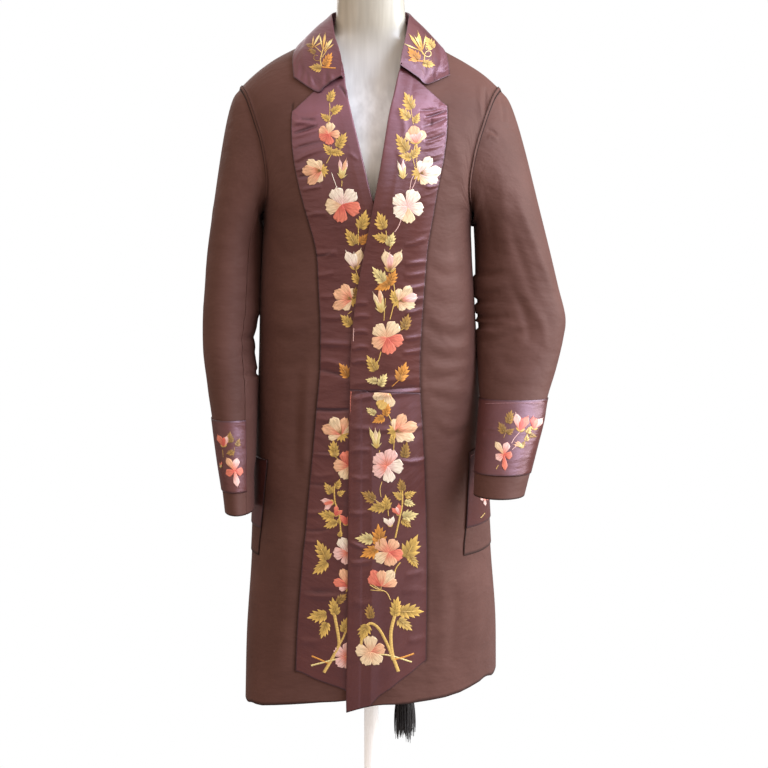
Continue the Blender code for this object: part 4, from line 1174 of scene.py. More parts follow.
def ramp_node(tree, value, *stops):
    """Colours along a value: stops are (place, colour)."""
    ramp = add_node(tree, "ValToRGB", Fac=value)
    for stop in stops[1:-1]:
        ramp.color_ramp.elements.new(stop[0])
    for element, (place, colour) in zip(ramp.color_ramp.elements, stops):
        element.position = place
        element.color = (*colour, 1.0)
    return ramp.outputs["Color"]


def attribute_node(tree, name, output):
    made = add_node(tree, "Attribute")
    made.attribute_name = name
    return made.outputs[output]


def multiplied(tree, one, other, factor=1.0):
    """The product of two colours."""
    mix = add_node(tree, "Mix")
    mix.data_type, mix.blend_type = "RGBA", "MULTIPLY"
    fill(tree, mix, Factor=factor, A=one, B=other)
    return mix.outputs["Result"]


def sewn(tree, colour, darkest):
    """A colour darkened by painted shade towards the sewn edges of a piece."""
    shade = ramp_node(tree, attribute_node(tree, "edge_shade", "Fac"), (0.0, (darkest,) * 3), (1.0, WHITE))
    return multiplied(tree, colour, shade)


def raised_part(tree, between):
    """How far up a point lies between two heights, from 0 to 1."""
    part = add_node(tree, "SeparateXYZ", Vector=add_node(tree, "TexCoord").outputs["Object"])
    low, high = between
    return add_node(tree, "MapRange", Value=part.outputs["Z"], From_Min=low, From_Max=high).outputs["Result"]

# %% Faille
RIB = 0.0011                    # pitch of the raised ribs
faille, tree, shader = new_material(
    "brown_faille", Roughness=0.62, Specular_IOR_Level=0.16, Sheen_Weight=0.04, Sheen_Roughness=0.45,
    Sheen_Tint=(0.85, 0.66, 0.72))
uv = uv_node(tree)
slow = noise_node(tree, uv, 9.0, 3.0)
brown = ramp_node(tree, slow, (0.30, (0.088, 0.039, 0.031)), (0.70, (0.116, 0.054, 0.044)))
ribs = add_node(tree, "TexWave", Vector=uv, Scale=0.314 / RIB, Distortion=0.5, Detail_Scale=0.4)
ribs.bands_direction = "Y"
slubs = noise_node(tree, uv, 420.0, 2.0, (0.16, 1.0, 1.0))
crumple = noise_node(tree, uv, 22.0, 3.0, (0.7, 1.3, 1.0))
normal = bump_node(tree, crumple, 0.5, 0.0070)
normal = bump_node(tree, slubs, 0.25, 0.0004, Normal=normal)
normal = bump_node(tree, ribs.outputs["Fac"], 0.15, 0.0002, Normal=normal)
fill(tree, shader, Base_Color=sewn(tree, brown, 0.22), Normal=normal)
print("ribs in a centimetre:", round(0.01 / RIB, 1))

# %% Satin
# painted highlight: between these heights the satin's colour is made paler, most around their middle, and
# darker and browner below them
SATIN_HIGHLIGHT_Z = (1.13, 1.37)          # between these heights the satin tilts to the light and looks paler
SATIN_PAINTED_HIGHLIGHT = ((0.20, (0.476, 0.330, 0.150)), (0.55, (1.0, 1.0, 0.98)), (0.66, (0.72, 0.66, 0.62)),
         (0.85, (0.62, 0.55, 0.50)))
satin, tree, shader = new_material(
    "plum_satin", Anisotropic=0.75, Roughness=0.42, Specular_IOR_Level=1.0, Specular_Tint=(1.0, 0.70, 0.88),
    Sheen_Weight=0.04, Sheen_Roughness=0.4, Sheen_Tint=(0.95, 0.70, 0.82))
uv = uv_node(tree)
slow = noise_node(tree, uv, 14.0, 3.0)
plum = ramp_node(tree, slow, (0.30, (0.130, 0.045, 0.055)), (0.72, (0.181, 0.067, 0.088)))
# painted highlight on the satin high on the chest
plum = multiplied(tree, plum, ramp_node(tree, raised_part(tree, SATIN_HIGHLIGHT_Z), *SATIN_PAINTED_HIGHLIGHT))
normal = bump_node(tree, noise_node(tree, uv, 900.0, 1.0, (0.25, 1.0, 1.0)), 0.18, 0.0003)
normal = bump_node(tree, noise_node(tree, uv, 60.0, 3.0, (0.40, 1.0, 1.0)), 0.45, 0.0024, Normal=normal)
across = add_node(tree, "Tangent")
across.direction_type, across.uv_map = "UV_MAP", "cloth"
fill(tree, shader, Base_Color=sewn(tree, plum, 0.30), Normal=normal, Tangent=across.outputs["Tangent"])
print("cloths:", faille.name, satin.name)

# %% [markdown]
# ## Fronts and backs
# Each front is one cut piece from the shoulder to the hem, and the back is two. Below
# the satin the faille is pressed in by a millimetre, so that the satin can pucker
# without touching it.

# %% Grids of the panels
def front_panel(side):
    """Grid of the front, rows from the hem up and columns from the front edge to the side."""
    low = FRONT_ROWS[side]
    first = len(low["edge"])

    # The satin's columns, from the front edge to its outer edge
    across = np.linspace(0, 1, TRIM_COLUMNS + 1)
    edge_z = height(side, NECK_X, YOKE["front"])
    trim_z = height(side, TRIM_TOP_X, YOKE["trim"])
    edge = np.concatenate([low["edge"], column(NECK, word(side) + "_edge", edge_z)])
    trim = np.concatenate([low["trim"], column(NECK, word(side) + "_trim", trim_z)])
    satin_x = edge[:, None] + (trim - edge)[:, None] * across
    low_z = low["front"][:, None] + (low["satin"] - low["front"])[:, None] * across
    low_z[0] = low["satin"][0] + (low["front"][0] - low["satin"][0]) * (1 - across) ** 3
    low_z[POINT_ROW] = np.maximum(low_z[POINT_ROW], low_z[0] + POINT_HEM)
    up = YOKE["front"][:, None] + (YOKE["trim"] - YOKE["front"])[:, None] * across
    satin_z = np.concatenate([low_z, height(side, satin_x[first:], up)])

    # From the satin's edge round to the side seam
    steps = np.linspace(0, 1, PANEL_COLUMNS + 1)[1:]
    pocket_steps = np.linspace(0, 1, POCKET_COLUMNS + 1)[1:]
    foot, top = POCKET_START[side]
    pocket = np.interp(low["side"], low["side"][[POCKET_LOW, POCKET_TOP]], [foot, top])
    start = angle_of(side, "front", low["trim"], low["satin"])
    angles = np.concatenate([
        start[:, None] + (pocket - start)[:, None] * steps,
        pocket[:, None] + (POCKET_END[side] - pocket)[:, None] * pocket_steps,
        np.full((first, 1), 90.0)], axis=1)
    blend = np.minimum(np.linspace(0, 2, angles.shape[1] + 1)[1:], 1.0)
    side_z = low["satin"][:, None] + (low["side"] - low["satin"])[:, None] * blend
    side_x = round_x(side, "front", angles, side_z)

    # The same columns above the armpit, on to the armhole
    arm_x = armhole_x(side, YOKE["arm_front"], YOKE["arm"])
    arm_x[-1] = TIP_X
    spread = (angles[-1] - start[-1]) / (90.0 - start[-1])
    trim_angle = angle_of(side, "front", trim[first:], satin_z[first:, -1])
    arm_angle = angle_of(side, "front", arm_x, height(side, arm_x, YOKE["arm"]))
    yoke_angle = trim_angle[:, None] + (arm_angle - trim_angle)[:, None] * spread
    up = YOKE["trim"][:, None] + (YOKE["arm"] - YOKE["trim"])[:, None] * spread
    yoke_x = np.tile(arm_x[:, None], (1, len(spread)))
    for _ in range(PASSES):
        yoke_x = round_x(side, "front", yoke_angle, height(side, yoke_x, up))
    x = np.concatenate([satin_x, np.concatenate([side_x, yoke_x])], axis=1)
    z = np.concatenate([satin_z, np.concatenate([side_z, height(side, yoke_x, up)])], axis=1)
    grid = points(side, "front", x, z)
    grid[:, -1, 1] -= SEAM
    grid[-1, :, 1] = SHOULDER_Y - SEAM
    return grid


print("points of the left front:", front_panel(LEFT).shape[:2])

# %% Grid of the back
def back_panel(side):
    """Grid of the back, columns from the centre seam to the side, rows as the front's."""
    low_z = FRONT_ROWS[side]["side"]
    angles = np.linspace(0, 90, BACK_NECK_COLUMNS + BACK_COLUMNS + 1)
    z = np.tile(low_z[:, None], (1, len(angles)))
    x = round_x(side, "back", angles, z)

    # Above the armpit: the top row is the neckline and the shoulder seam
    arm_x = armhole_x(side, YOKE["arm_back"], YOKE["arm"])
    arm_x[-1] = TIP_X
    neck = np.linspace(0, 1, BACK_NECK_COLUMNS + 1)
    top_x = np.concatenate([NECK_X * neck, np.linspace(NECK_X, TIP_X, BACK_COLUMNS + 1)[1:]])
    neck_z = BACK_NECK_Z + (shoulder_z(side, NECK_X) - BACK_NECK_Z) * neck**2
    top_up = np.ones(len(angles))
    top_up[:len(neck)] = (neck_z - ARMPIT_Z) / (shoulder_z(side, NECK_X * neck) - ARMPIT_Z)
    fan = YOKE["arm"][:, None]
    yoke_x = arm_x[:, None] * (x[-1] / x[-1, -1] * (1 - fan) + top_x / TIP_X * fan)
    x = np.concatenate([x, yoke_x])
    z = np.concatenate([z, height(side, yoke_x, fan * top_up)])
    grid = points(side, "back", x, z)
    grid[:, 0, 0] += side * SEAM * (0.6 + 0.8 * smooth_step(ARMPIT_Z, BACK_NECK_Z, grid[:, 0, 2]))
    grid[:, -1, 1] += SEAM
    grid[-1, BACK_NECK_COLUMNS:, 1] = SHOULDER_Y + SEAM
    return grid


def moved_out(grid, outward, distance):
    return grid + grid_normals(grid, outward) * distance


print("points of the left back:", back_panel(LEFT).shape[:2])

# %% Creased cloth
PANEL_STEPS = (10, 9)
PRESSED = 0.0010
FRONT_OUT, BACK_OUT = np.array([0.0, -1.0, 0.0]), np.array([0.0, 1.0, 0.0])
EDGE_DRAW = (0.00055, 0.008)    # how far an edge is drawn in for its rim, and over what distance
HELD = 0.014                    # creases fade out over this width at a seam
WELT, WELT_WIDTH = 0.0022, 0.0035   # the body swells beside the sleeve's seam
SEWN = 0.0022                   # width of the shade beside a seam
GROOVE = 0.0008                 # and the faille dips beside the satin
GROOVE_WIDTH = 1.1              # the groove's half width, in columns
MEET_COLUMNS = 15               # a panel eases into its side seam over these columns

fronts = {side: front_panel(side) for side in SIDES}
backs = {side: back_panel(side) for side in SIDES}


def creased(grid, outward, creases, behind=(), held=0.0, welt=0.0):
    """A grid moved along its normals by the creases seen in the picture and by those of the hidden side.

    Nothing moves along the side seam, over a width `held`, so that two panels still meet there. Along
    the armhole the cloth swells by `welt`, a bell curve beside the edge.
    """
    normals = grid_normals(grid, outward)
    front = facing_camera(grid, normals)
    lift = relief(seen(grid), creases) * np.maximum(front, 0)
    if len(behind):
        lift = lift + relief(from_behind(grid), behind) * np.maximum(-front, 0)
    if held:
        uv = cloth_uv(grid)
        inwards, downwards = uv[:, -1:, 0] - uv[..., 0], uv[-1:, :, 1] - uv[..., 1]
        lift = lift * smooth_step(0.001, held, np.minimum(inwards, downwards))
        above = smooth_step(ARMPIT_Z, ARMPIT_Z + 0.03, grid[..., 2]) * smooth_step(0.0, 0.01, downwards)
        lift = lift + welt * np.exp(-((inwards - WELT_WIDTH) / WELT_WIDTH)**2) * above
    return grid + normals * lift[..., None]


def under_satin(grid):
    """1 below the satin and 0 outside it, for a front's grid."""
    rows, columns = grid.shape[:2]
    trim = TRIM_COLUMNS * PANEL_STEPS[1]
    column_at, row_at = np.arange(columns), np.arange(rows)[:, None]
    inside = 1 - smooth_step(trim - 6, trim - 2, column_at)
    raised = smooth_step(POINT_ROW * PANEL_STEPS[0] + 2, POINT_ROW * PANEL_STEPS[0] + 6, row_at)
    below = 1 - smooth_step(GORGE_ROW * PANEL_STEPS[0] - 4, GORGE_ROW * PANEL_STEPS[0], row_at)
    return inside * raised * below * smooth_step(2, 6, column_at)


def meet_at_side(front, back):
    """Bring both side edges to the line halfway between them, up to the armpit, easing off inwards."""
    rows = slice(0, ARMPIT_ROW * PANEL_STEPS[0] + 1)
    middle = (front[rows, -1] + back[rows, -1]) / 2
    share = smooth_step(0, 1, np.linspace(0, 1, MEET_COLUMNS))[None, :, None]
    for grid, way in ((front, -1), (back, 1)):
        goal = middle + np.array([0.0, way * PANEL_SEAM, 0.0])
        grid[rows, -MEET_COLUMNS:] += (goal - grid[rows, -1])[:, None] * share


print("points of the backs:", [backs[side].shape[:2] for side in SIDES])

# %% Body panels
front_fine = {side: smooth_panel(side, "front", fronts[side], *PANEL_STEPS) for side in SIDES}
back_fine = {side: smooth_panel(side, "back", backs[side], *PANEL_STEPS) for side in SIDES}
for side in SIDES:
    meet_at_side(front_fine[side], back_fine[side])
    grid = front_fine[side]
    grid = creased(grid, FRONT_OUT, FRONT_CREASES[side], held=HELD, welt=WELT)
    # painted shade: the faille's colour is darkened by up to 0.7 in the groove beside the satin's outer edge,
    # and along its sewn edges
    row_at = np.arange(len(grid))[:, None] / PANEL_STEPS[0]
    beside = (np.exp(-((np.arange(grid.shape[1]) - TRIM_COLUMNS * PANEL_STEPS[1]) / GROOVE_WIDTH)**2)
              * ((row_at >= POINT_ROW) & (row_at <= GORGE_ROW)))
    pressed = np.maximum(PRESSED * under_satin(grid), GROOVE * beside)
    grid = grid - grid_normals(grid, FRONT_OUT) * pressed[..., None]
    cloth_piece("front_faille_" + word(side), drawn_in(grid, *EDGE_DRAW), FRONT_OUT, faille,
                "front_" + word(side), dark=(0, SEWN, SEWN / 2, SEWN), shade=1 - 0.7 * beside)

for side in SIDES:
    grid = back_fine[side]
    grid = creased(grid, BACK_OUT, (), BACK_CREASES, held=HELD, welt=WELT)
    cloth_piece("back_faille_" + word(side), drawn_in(grid, *EDGE_DRAW), BACK_OUT, faille,
                "back_" + word(side), dark=(SEWN, SEWN, SEWN / 2, SEWN))

# %% [markdown]
# ## Sleeves
# A coat sleeve is cut in two pieces, with a seam down the inner front and one down the
# back. Both pieces come from one closed grid, rings round the arm. The top ring is the
# armhole itself, read from the edges of the fine panels, so that the seam closes.

# %% Rings for the sleeves
SLEEVE_ROW_STEPS = 12
SLEEVE_SEAM = 0.0003            # fine cloth comes closer at a seam than the solids do


def ring_angles(ring):
    """Angle of each ring point, 0 outer, 180 inner, by its distance along each half."""
    half = len(ring) // 2
    front, back = lengths(ring[:half + 1]), lengths(np.concatenate([ring[half:], ring[:1]]))
    return np.concatenate([180 * front[:-1] / front[-1], 180 + 180 * back[:-1] / back[-1]])


def sleeve_section(side, rows, angles, z):
    """Ring of the sleeve at height z: an ellipse between its two seen edges."""
    x_in, x_out, mid, deep = (column(rows, name, z) for name in ("x_in", "x_out", "mid", "deep"))
    turn = np.radians(angles)
    x = (x_in + x_out) / 2 + (x_out - x_in) / 2 * np.cos(turn)
    y = mid - deep * np.sin(turn)
    return np.stack([side * x, y, np.broadcast_to(z, x.shape)], -1)


def sleeve_grid(side, ring):
    """Rings from the cuff up to the armhole; the cap is a cubic from ring to section."""
    rows = SLEEVES[side]
    angles = ring_angles(ring)
    heights = [z for z in rows["z"] if z <= SLEEVE_TOP_Z]
    rings = [sleeve_section(side, rows, angles, z) for z in heights]
    top_z = heights[-1]
    first = rings[-1]
    outer = 0.5 + 0.5 * np.cos(np.radians(angles))[:, None]
    reach = CAP_REACH[0] + (CAP_REACH[1] - CAP_REACH[0]) * outer
    sink = CAP_SINK[0] + (CAP_SINK[1] - CAP_SINK[0]) * outer
    start_pull = ring + np.array([side, 0, 0]) * reach - np.array([0, 0, 1]) * sink
    end_pull = sleeve_section(side, rows, angles, top_z + (ring[:, 2] - top_z) * CAP_PULL)
    for step in np.linspace(1, 0, CAP_ROWS + 1)[1:]:
        f = 1 - step
        rings.append((1 - f)**3 * first + 3 * (1 - f)**2 * f * end_pull
                     + 3 * (1 - f) * f**2 * start_pull + f**3 * ring)
    return np.array(rings)


def part_seams(grid):
    """Draw both side edges of a grid in at the sleeve's seams."""
    moved = grid.copy()
    for edge, inner in ((0, 1), (-1, -2)):
        moved[:, edge] += unit(grid[:, inner] - grid[:, edge]) * SLEEVE_SEAM
    return moved


def armhole_loop(front, back):
    """Once round the armhole from the shoulder: down the front's edge and up the back's, a gap outwards."""
    start = ARMPIT_ROW * PANEL_STEPS[0]
    front_edge, back_edge = (grid[start:, -1] + unit(grid[start:, -1] - grid[start:, -4]) * SEAM
                             for grid in (front, back))
    shoulder = (front_edge[-1] + back_edge[-1]) / 2
    armpit = (front_edge[0] + back_edge[0]) / 2
    return np.concatenate([[shoulder], front_edge[-2:0:-1], [armpit], back_edge[1:-1]])


print("points round the armhole:", len(armhole_loop(front_fine[LEFT], back_fine[LEFT])))

# %% Where the sleeves lie against the body
# Width of the gap between sleeve and body, in pixels, by height in the picture. The
# photo shows light through three narrow gaps and, elsewhere, the sleeve against the body
GAP_COLUMNS = ("y", "left", "right")
GAPS = table("""y left right
  222 -0.8 -0.8
  225  2.5 -0.8
  240    3 -0.8
  262  2.8 -0.8
  274  2.2 -0.8
  277 -0.8 -0.8
  298 -0.8 -0.8
299.5  2.6 -0.8
303.5  2.4 -0.8
  305 -0.8 -0.8
  312 -0.8 -0.8
313.5    2 -0.8
  315    2  0.6
  318    2  1.4
319.5 -0.8  1.7
  321 -0.8  1.9
322.5  2.2  2.1
  328  2.2  2.8
  330 -0.8  3.4
  334 -0.8  4.6
337.5 -0.8  5.8
  341 -0.8  4.4
  347 -0.8  3.6
  352 -0.8  4.3
  356 -0.8  3.4
  362 -0.8  2.4
  367 -0.8  1.2
369.5 -0.8  0.8
  371 -0.8  2.6
  374 -0.8  1.8
  376 -0.8 -0.8""", GAP_COLUMNS)
FREE_Y = (455.0, 475.0)         # below this the sleeve hangs free
GAP_MOVE = (-0.005, 0.014)      # no more than this is closed, or opened
NEAR_SIDE = 20                  # the body's outline lies in its panels' last columns


def body_side(side, y):
    """How far out the body is seen to reach at heights in the picture, in pixels from its middle."""
    edge = np.concatenate([seen(grid[side])[:ARMPIT_ROW * PANEL_STEPS[0] + 1, -NEAR_SIDE:]
                           for grid in (front_fine, back_fine)], 1)
    reach = (side * (edge[..., 0] - PICTURE / 2)).max(1)
    level = edge[..., 1].mean(1)
    return np.interp(y, level[::-1], reach[::-1])


def against_body(side, sleeve):
    """Move a sleeve's inner side until the gap that is seen at each height is the wanted one."""
    place = seen(sleeve)
    out = side * (place[..., 0] - PICTURE / 2)
    inmost = out.argmin(1)
    rows = np.arange(len(sleeve))
    y = place[rows, inmost, 1]
    wanted = np.interp(y, GAPS["y"], GAPS[word(side)])
    move = (out[rows, inmost] - body_side(side, y) - wanted) * PIXEL
    move = np.clip(move, np.where(wanted > 0, GAP_MOVE[0], 0.0), GAP_MOVE[1]) * (1 - smooth_step(*FREE_Y, y))
    middle = out.mean(1)[:, None]
    share = np.clip((middle - out) / (middle - out.min(1)[:, None]), 0, 1)
    moved = sleeve.copy()
    moved[..., 0] -= side * move[:, None] * share**1.5
    return moved


print("gaps at", len(GAPS["y"]), "heights")

# %% Sleeves and cuffs
HEAD_SWELL, HEAD_AT, HEAD_WIDTH = 0.0026, 0.009, 0.006      # the sleeve's head swells below its seam
HEAD_Z = (ARMPIT_Z + 0.03, ARMPIT_Z + 0.12)
CUFF_EDGE = (0.0004, 0.006)     # as EDGE_DRAW, for the cuffs and the pockets
sleeves, cuffs = {}, {}
for side in SIDES:
    rings = sleeve_grid(side, armhole_loop(front_fine[side], back_fine[side]))
    fine = against_body(side, refined(rings, SLEEVE_ROW_STEPS))
    out = np.array([float(side), 0.0, 0.0])
    closed = np.concatenate([fine[:, -1:], fine, fine[:, :1]], axis=1)
    normals = np.cross(np.gradient(closed, axis=1), np.gradient(closed, axis=0))[:, 1:-1]
    normals = unit(normals) * np.sign((unit(normals)[:, 0] * out).sum())
    front = facing_camera(fine, normals)
    mirrored = from_behind(fine) * np.array([side, 1.0])
    lift = (relief(seen(fine), SLEEVE_CREASES[side]) * np.maximum(front, 0)
            + relief(mirrored, BACK_SLEEVE_CREASES) * np.maximum(-front, 0))
    down = lengths(fine)
    swell = HEAD_SWELL * np.exp(-((down - HEAD_AT) / HEAD_WIDTH)**2)
    lift = lift + swell * smooth_step(*HEAD_Z, fine[:1, :, 2])
    fine = fine + normals * lift[..., None]
    count = fine.shape[1]
    front_seam, back_seam = (seam * PANEL_STEPS[0] for seam in SLEEVE_SEAMS[side])
    over = np.arange(back_seam - count, front_seam + 1) % count
    top = drawn_in(part_seams(fine[:, over]), *EDGE_DRAW)
    under = drawn_in(part_seams(fine[:, front_seam:back_seam + 1]), *EDGE_DRAW)
    sleeves[side] = top
    for piece, grid, way in (("top", top, out), ("under", under, -out)):
        cloth_piece(f"sleeve_{piece}_faille_{word(side)}", grid, way, faille,
                    f"sleeve_{piece}_{word(side)}",
                    radius=0.0005, dark=(0, 0, SEWN, SEWN / 2))
    patch = fine[:, over][CUFF_LOW * SLEEVE_ROW_STEPS:CUFF_TOP * SLEEVE_ROW_STEPS + 1]
    cuffs[side] = drawn_in(moved_out(patch, out, SEAM + SATIN), *CUFF_EDGE)
    cloth_piece("cuff_satin_" + word(side), cuffs[side], out, satin, "cuff_" + word(side),
                radius=0.0007, reach=0.003, dark=(SEWN / 2,) * 4)

# %% [markdown]
# ## Satin of the fronts
# The lapel and the band below it are two satin pieces, joined at the waist. The
# embroidery and the wadding under it draw the satin into short puckers, mostly across
# the piece. At the front edge the satin is carried round the edge to the inside, so
# its rim is wider there.

# %% Puckers of the satin, in the picture
SATIN_CREASES = {LEFT: numbers("""
419 110.5   428   110   437   109 1.4 -1.4
439   107   444   106   447   108 1.2  1.1
425 117.5   435 114.5 446.5 110.5 1.3 -2.2
425 114.3   436   112   446 108.5 1.1    1
424 120.5   436 117.5   447 114.5 1.9  1.4
432   119 431.5   122   431   127 1.4 -1.1
422   127   434   123   446   118 1.6 -1.4
418   135   432   131   446   126   2  1.3
424   140   434   138   445   133 1.5 -1.4
398   108   404   122   404   138   3    1
396   150   401   158   400   172 2.6  0.9
420   162   431   163   443   159 1.6 -1.3
426   144   434   141   444   137 1.6  1.1
421   150   432   148   444   145 1.5  1.1
427   156   434   156   443   153 1.5    1
426   187   432   187   439   185 1.6  0.9
353   305   360   303   368   304   2  1.5
353   318   361   316   370   317   2  1.5
352   333   360   331   369   333   2  1.4
352   350   360   347   370   348 2.2  1.5
352   364   361   361   372   363 2.2  1.4
404   245   415   243   427   239   2  1.1
405   265   416   263   427   262   2  1.3
404   276   415   275   426   272   2  1.3
402   289   414   288   425   285   2  1.5
404   300   414   300   424   298   2  1.3
405   313   414   312   423   309   2  1.4
404   339   413   338   422   336   2  1.3
402   353   412   352   422   350   2  1.3
350   395   384   390   422   387 1.3 -1.7
351   400   384   395   420   392 2.6  1.9
350   385   384   381   420   379   3  1.1
351   427   388   430   424   426 2.4  1.4
398   460   412   462   426   459 2.4  1.8
350   452   362   450   372   452 2.4  1.1
351   476   360   479   370   478 2.2  1.1
350   512   358   514   368   512 2.2  1.1
350   542   358   546   367   549   2  1.4
350   563   360   563   371   561 2.2  1.4
405   576   414   574   424   571 2.2  1.3
402   592   414   590   426   590 2.4  1.1
352   600   362   604   372   602 2.6  1.1
408   640   416   640   426   636 2.6  1.1"""), RIGHT: numbers("""
293   123 304   123 316   124 2.2  1.6
293 133.5 304   130 318 125.5 1.5 -2.2
292 137.5 305   134 320   129   2  1.4
300   119 307 119.5 316 120.5 1.3 -1.4
338    86 343    90 347    98 1.4 -1.8
294   162 309   154 326   149   2  1.8
295   170 299   170 304   168 1.5    1
349   153 353   156 358   160 1.6    1
293   150 306   145 324   141 1.6 -1.4
292   125 304   121 320   114 2.2  1.3
298   178 304   176 312   175 1.6 -1.1
302   190 312   188 322   187   2    1
306   216 316   214 328   214 2.2    1
316   255 326   254 337   252 2.2  1.3
316   275 324   275 334   273 2.2    1
320   296 328   297 337   295 2.2    1
320   317 335   318 350   316 2.4  1.1
319   343 335   344 352   345 2.8  1.9
320   362 334   363 350   371 2.4  1.5
313   410 330   411 350   410 1.3 -1.8
316   418 330   420 348   419   3  1.4
318   370 334   373 350   378 1.3   -2
315   256 323   255 331   253 1.2 -1.7
300   593 320   592 346   594 1.3 -1.7
312   452 330   453 349   453 1.1 -1.1
306   484 322   485 344   484 1.4 -0.8
303   530 316   531 330   529 1.4   -1
313   453 330   455 348   455 2.4  1.5
312   475 322   476 334   474 2.2    1
306   513 318   513 332   510 2.4  1.4
304   540 313   542 322   540 2.2    1
300   593 322   596 346   596 2.6  1.9
300   640 312   642 324   640 2.6  1.1""")}
print("puckers and folds of the satin:", [len(SATIN_CREASES[side]) for side in SIDES])

# %% Lapels and bands
SATIN_STEPS = (24, 14)
FOLD_RADIUS, FOLD_REACH = 0.0017, 0.012     # the satin's turn round the front edge
SATIN_RADIUS, SATIN_REACH = 0.0006, 0.004
SATIN_DRAW = (0.0005, 0.006)    # as EDGE_DRAW, for the satin
EDGE_PUCKERS = {LEFT: (3, 0.0150, 0.0005), RIGHT: (8, 0.0170, 0.0005)}      # seed, spacing, height
# painted shade: the satin's colour darkens in its troughs, fully at this depth
TROUGH_SHADE_DEPTH = 0.0022            # a trough this deep in the satin is as dark as a seam
LAPEL_CUT = {LEFT: 0.0, RIGHT: 0.012}   # how much lower the lapel's outer corner is cut than its inner one


def folded_edge(rows, columns, plain, folded):
    """A value once round a satin piece's edge: `folded` along its first column, easing off at the
    corners, and `plain` elsewhere."""
    values = np.full((rows, columns), float(plain))
    up = np.linspace(0, 1, rows)
    values[:, 0] += (folded - plain) * smooth_step(0, 0.06, np.minimum(up, 1 - up))
    return edge_loop(values)


def cut_top(grid, cut):
    """The grid with its top edge cut lower by `cut` at the last column, and less towards the first."""
    v = cloth_uv(grid)[..., 1]
    share = np.linspace(0, 1, grid.shape[1])
    wanted = v * (1 - cut * share / v[-1])
    columns = [[np.interp(wanted[:, c], v[:, c], grid[:, c, axis]) for axis in range(3)]
               for c in range(grid.shape[1])]
    return np.moveaxis(np.array(columns), (0, 1, 2), (1, 2, 0))


satins = {}
for side in SIDES:
    whole = smooth_panel(side, "front", fronts[side][:GORGE_ROW + 3, :TRIM_COLUMNS + 3], *SATIN_STEPS)
    whole = creased(whole, FRONT_OUT, FRONT_CREASES[side])
    whole = moved_out(whole, FRONT_OUT, SEAM + SATIN)
    whole = creased(whole, FRONT_OUT, SATIN_CREASES[side])
    rows, columns = SATIN_STEPS
    outer = whole[:, :TRIM_COLUMNS * columns + 1]
    whole[:, :TRIM_COLUMNS * columns + 1] += (grid_normals(outer, FRONT_OUT)
                                              * edge_puckers(outer, *EDGE_PUCKERS[side])[..., None])
    across = slice(0, TRIM_COLUMNS * columns + 1)
    for piece, low, high in (("lapel", WAIST_ROW, GORGE_ROW), ("band", POINT_ROW, WAIST_ROW)):
        grid = whole[low * rows:high * rows + 1, across]
        if piece == "lapel":
            grid = cut_top(grid, LAPEL_CUT[side])
        grid = drawn_in(grid, *SATIN_DRAW)
        satins[piece, side] = grid
        # painted shade in the satin's troughs, darker the deeper the trough
        troughs = relief(seen(grid), [row for row in SATIN_CREASES[side] if row[-1] < 0])
        shade = np.clip(1 + troughs / TROUGH_SHADE_DEPTH, 0, 1)
        radius = folded_edge(*grid.shape[:2], SATIN_RADIUS, FOLD_RADIUS)
        reach = folded_edge(*grid.shape[:2], SATIN_REACH, FOLD_REACH)
        name = f"{piece}_satin_{word(side)}"
        cloth_piece(name, grid, FRONT_OUT, satin, f"{piece}_{word(side)}",
                    radius, reach,
                    dark=(0, SEWN / 2, SEWN / 2, SEWN / 2), shade=shade)

# %% [markdown]
# ## Pockets
# A patch pocket of faille lies on each front, and satin covers its upper half.

# %% Pockets
POCKET_STEPS = (12, 10)
tall, wide = POCKET_STEPS
for side in SIDES:
    aside = np.array([float(side), -0.6, 0.0])
    whole = smooth_panel(side, "front", fronts[side], *POCKET_STEPS)
    whole = creased(whole, FRONT_OUT, FRONT_CREASES[side], held=HELD)
    start = (TRIM_COLUMNS + PANEL_COLUMNS) * wide
    block = slice(start, start + POCKET_COLUMNS * wide + 1)
    patch = moved_out(whole, aside, SEAM + SATIN)[POCKET_LOW * tall:POCKET_TOP * tall + 1, block]
    upper = moved_out(whole, aside, 2 * (SEAM + SATIN))[POCKET_BAND * tall:POCKET_TOP * tall + 1, block]
    cloth_piece("pocket_faille_" + word(side), drawn_in(patch, *CUFF_EDGE), aside, faille,
                "pocket_" + word(side), radius=0.0006, reach=0.003,
                dark=(SEWN / 2,) * 4)
    cloth_piece("pocket_top_satin_" + word(side), drawn_in(upper, *CUFF_EDGE), aside, satin,
                "pocket_satin_" + word(side), radius=0.0006, reach=0.003,
                dark=(SEWN / 2,) * 4)
    satins["pocket", side] = upper

# %% [markdown]
# ## Collar
# The collar is one satin piece that rises from the neck seam, rolls over and falls on
# the shoulders. Its grid runs along ribs from the left front round the back to the
# right front.

# %% Ribs of the collar
COLLAR_FOOT = 0.10              # a rib starts this share of the way from the seam up to the roll
COLLAR_STAND = 0.55             # and has a point this far up from there


def over_shoulder(side, x, degrees, lift):
    """A point over the shoulder: 0 at armpit height in front, 90 on the seam, 180 behind."""
    def at(x_at, turn):
        face = "front" if turn <= 90 else "back"
        z = float(height(side, x_at, math.sin(math.radians(turn))))
        section = float(section_depth(side, face, x_at, z))
        return np.array([x_at, SHOULDER_Y + (section - SHOULDER_Y) * abs(math.cos(math.radians(turn))), z])

    normal = np.cross(at(x + 0.002, degrees) - at(x, degrees), at(x, degrees + 1) - at(x, degrees))
    place = at(x, degrees) + normal / np.linalg.norm(normal) * lift
    return place * np.array([side, 1.0, 1.0])


def neckline(front, back):
    """Neckline from the gorge to the centre back, as points of the panels."""
    rise = front[GORGE_ROW:TOP_ROW + 1, 0]
    across = back[-1, :BACK_NECK_COLUMNS + 1][::-1]
    return np.concatenate([rise[:-1], across])


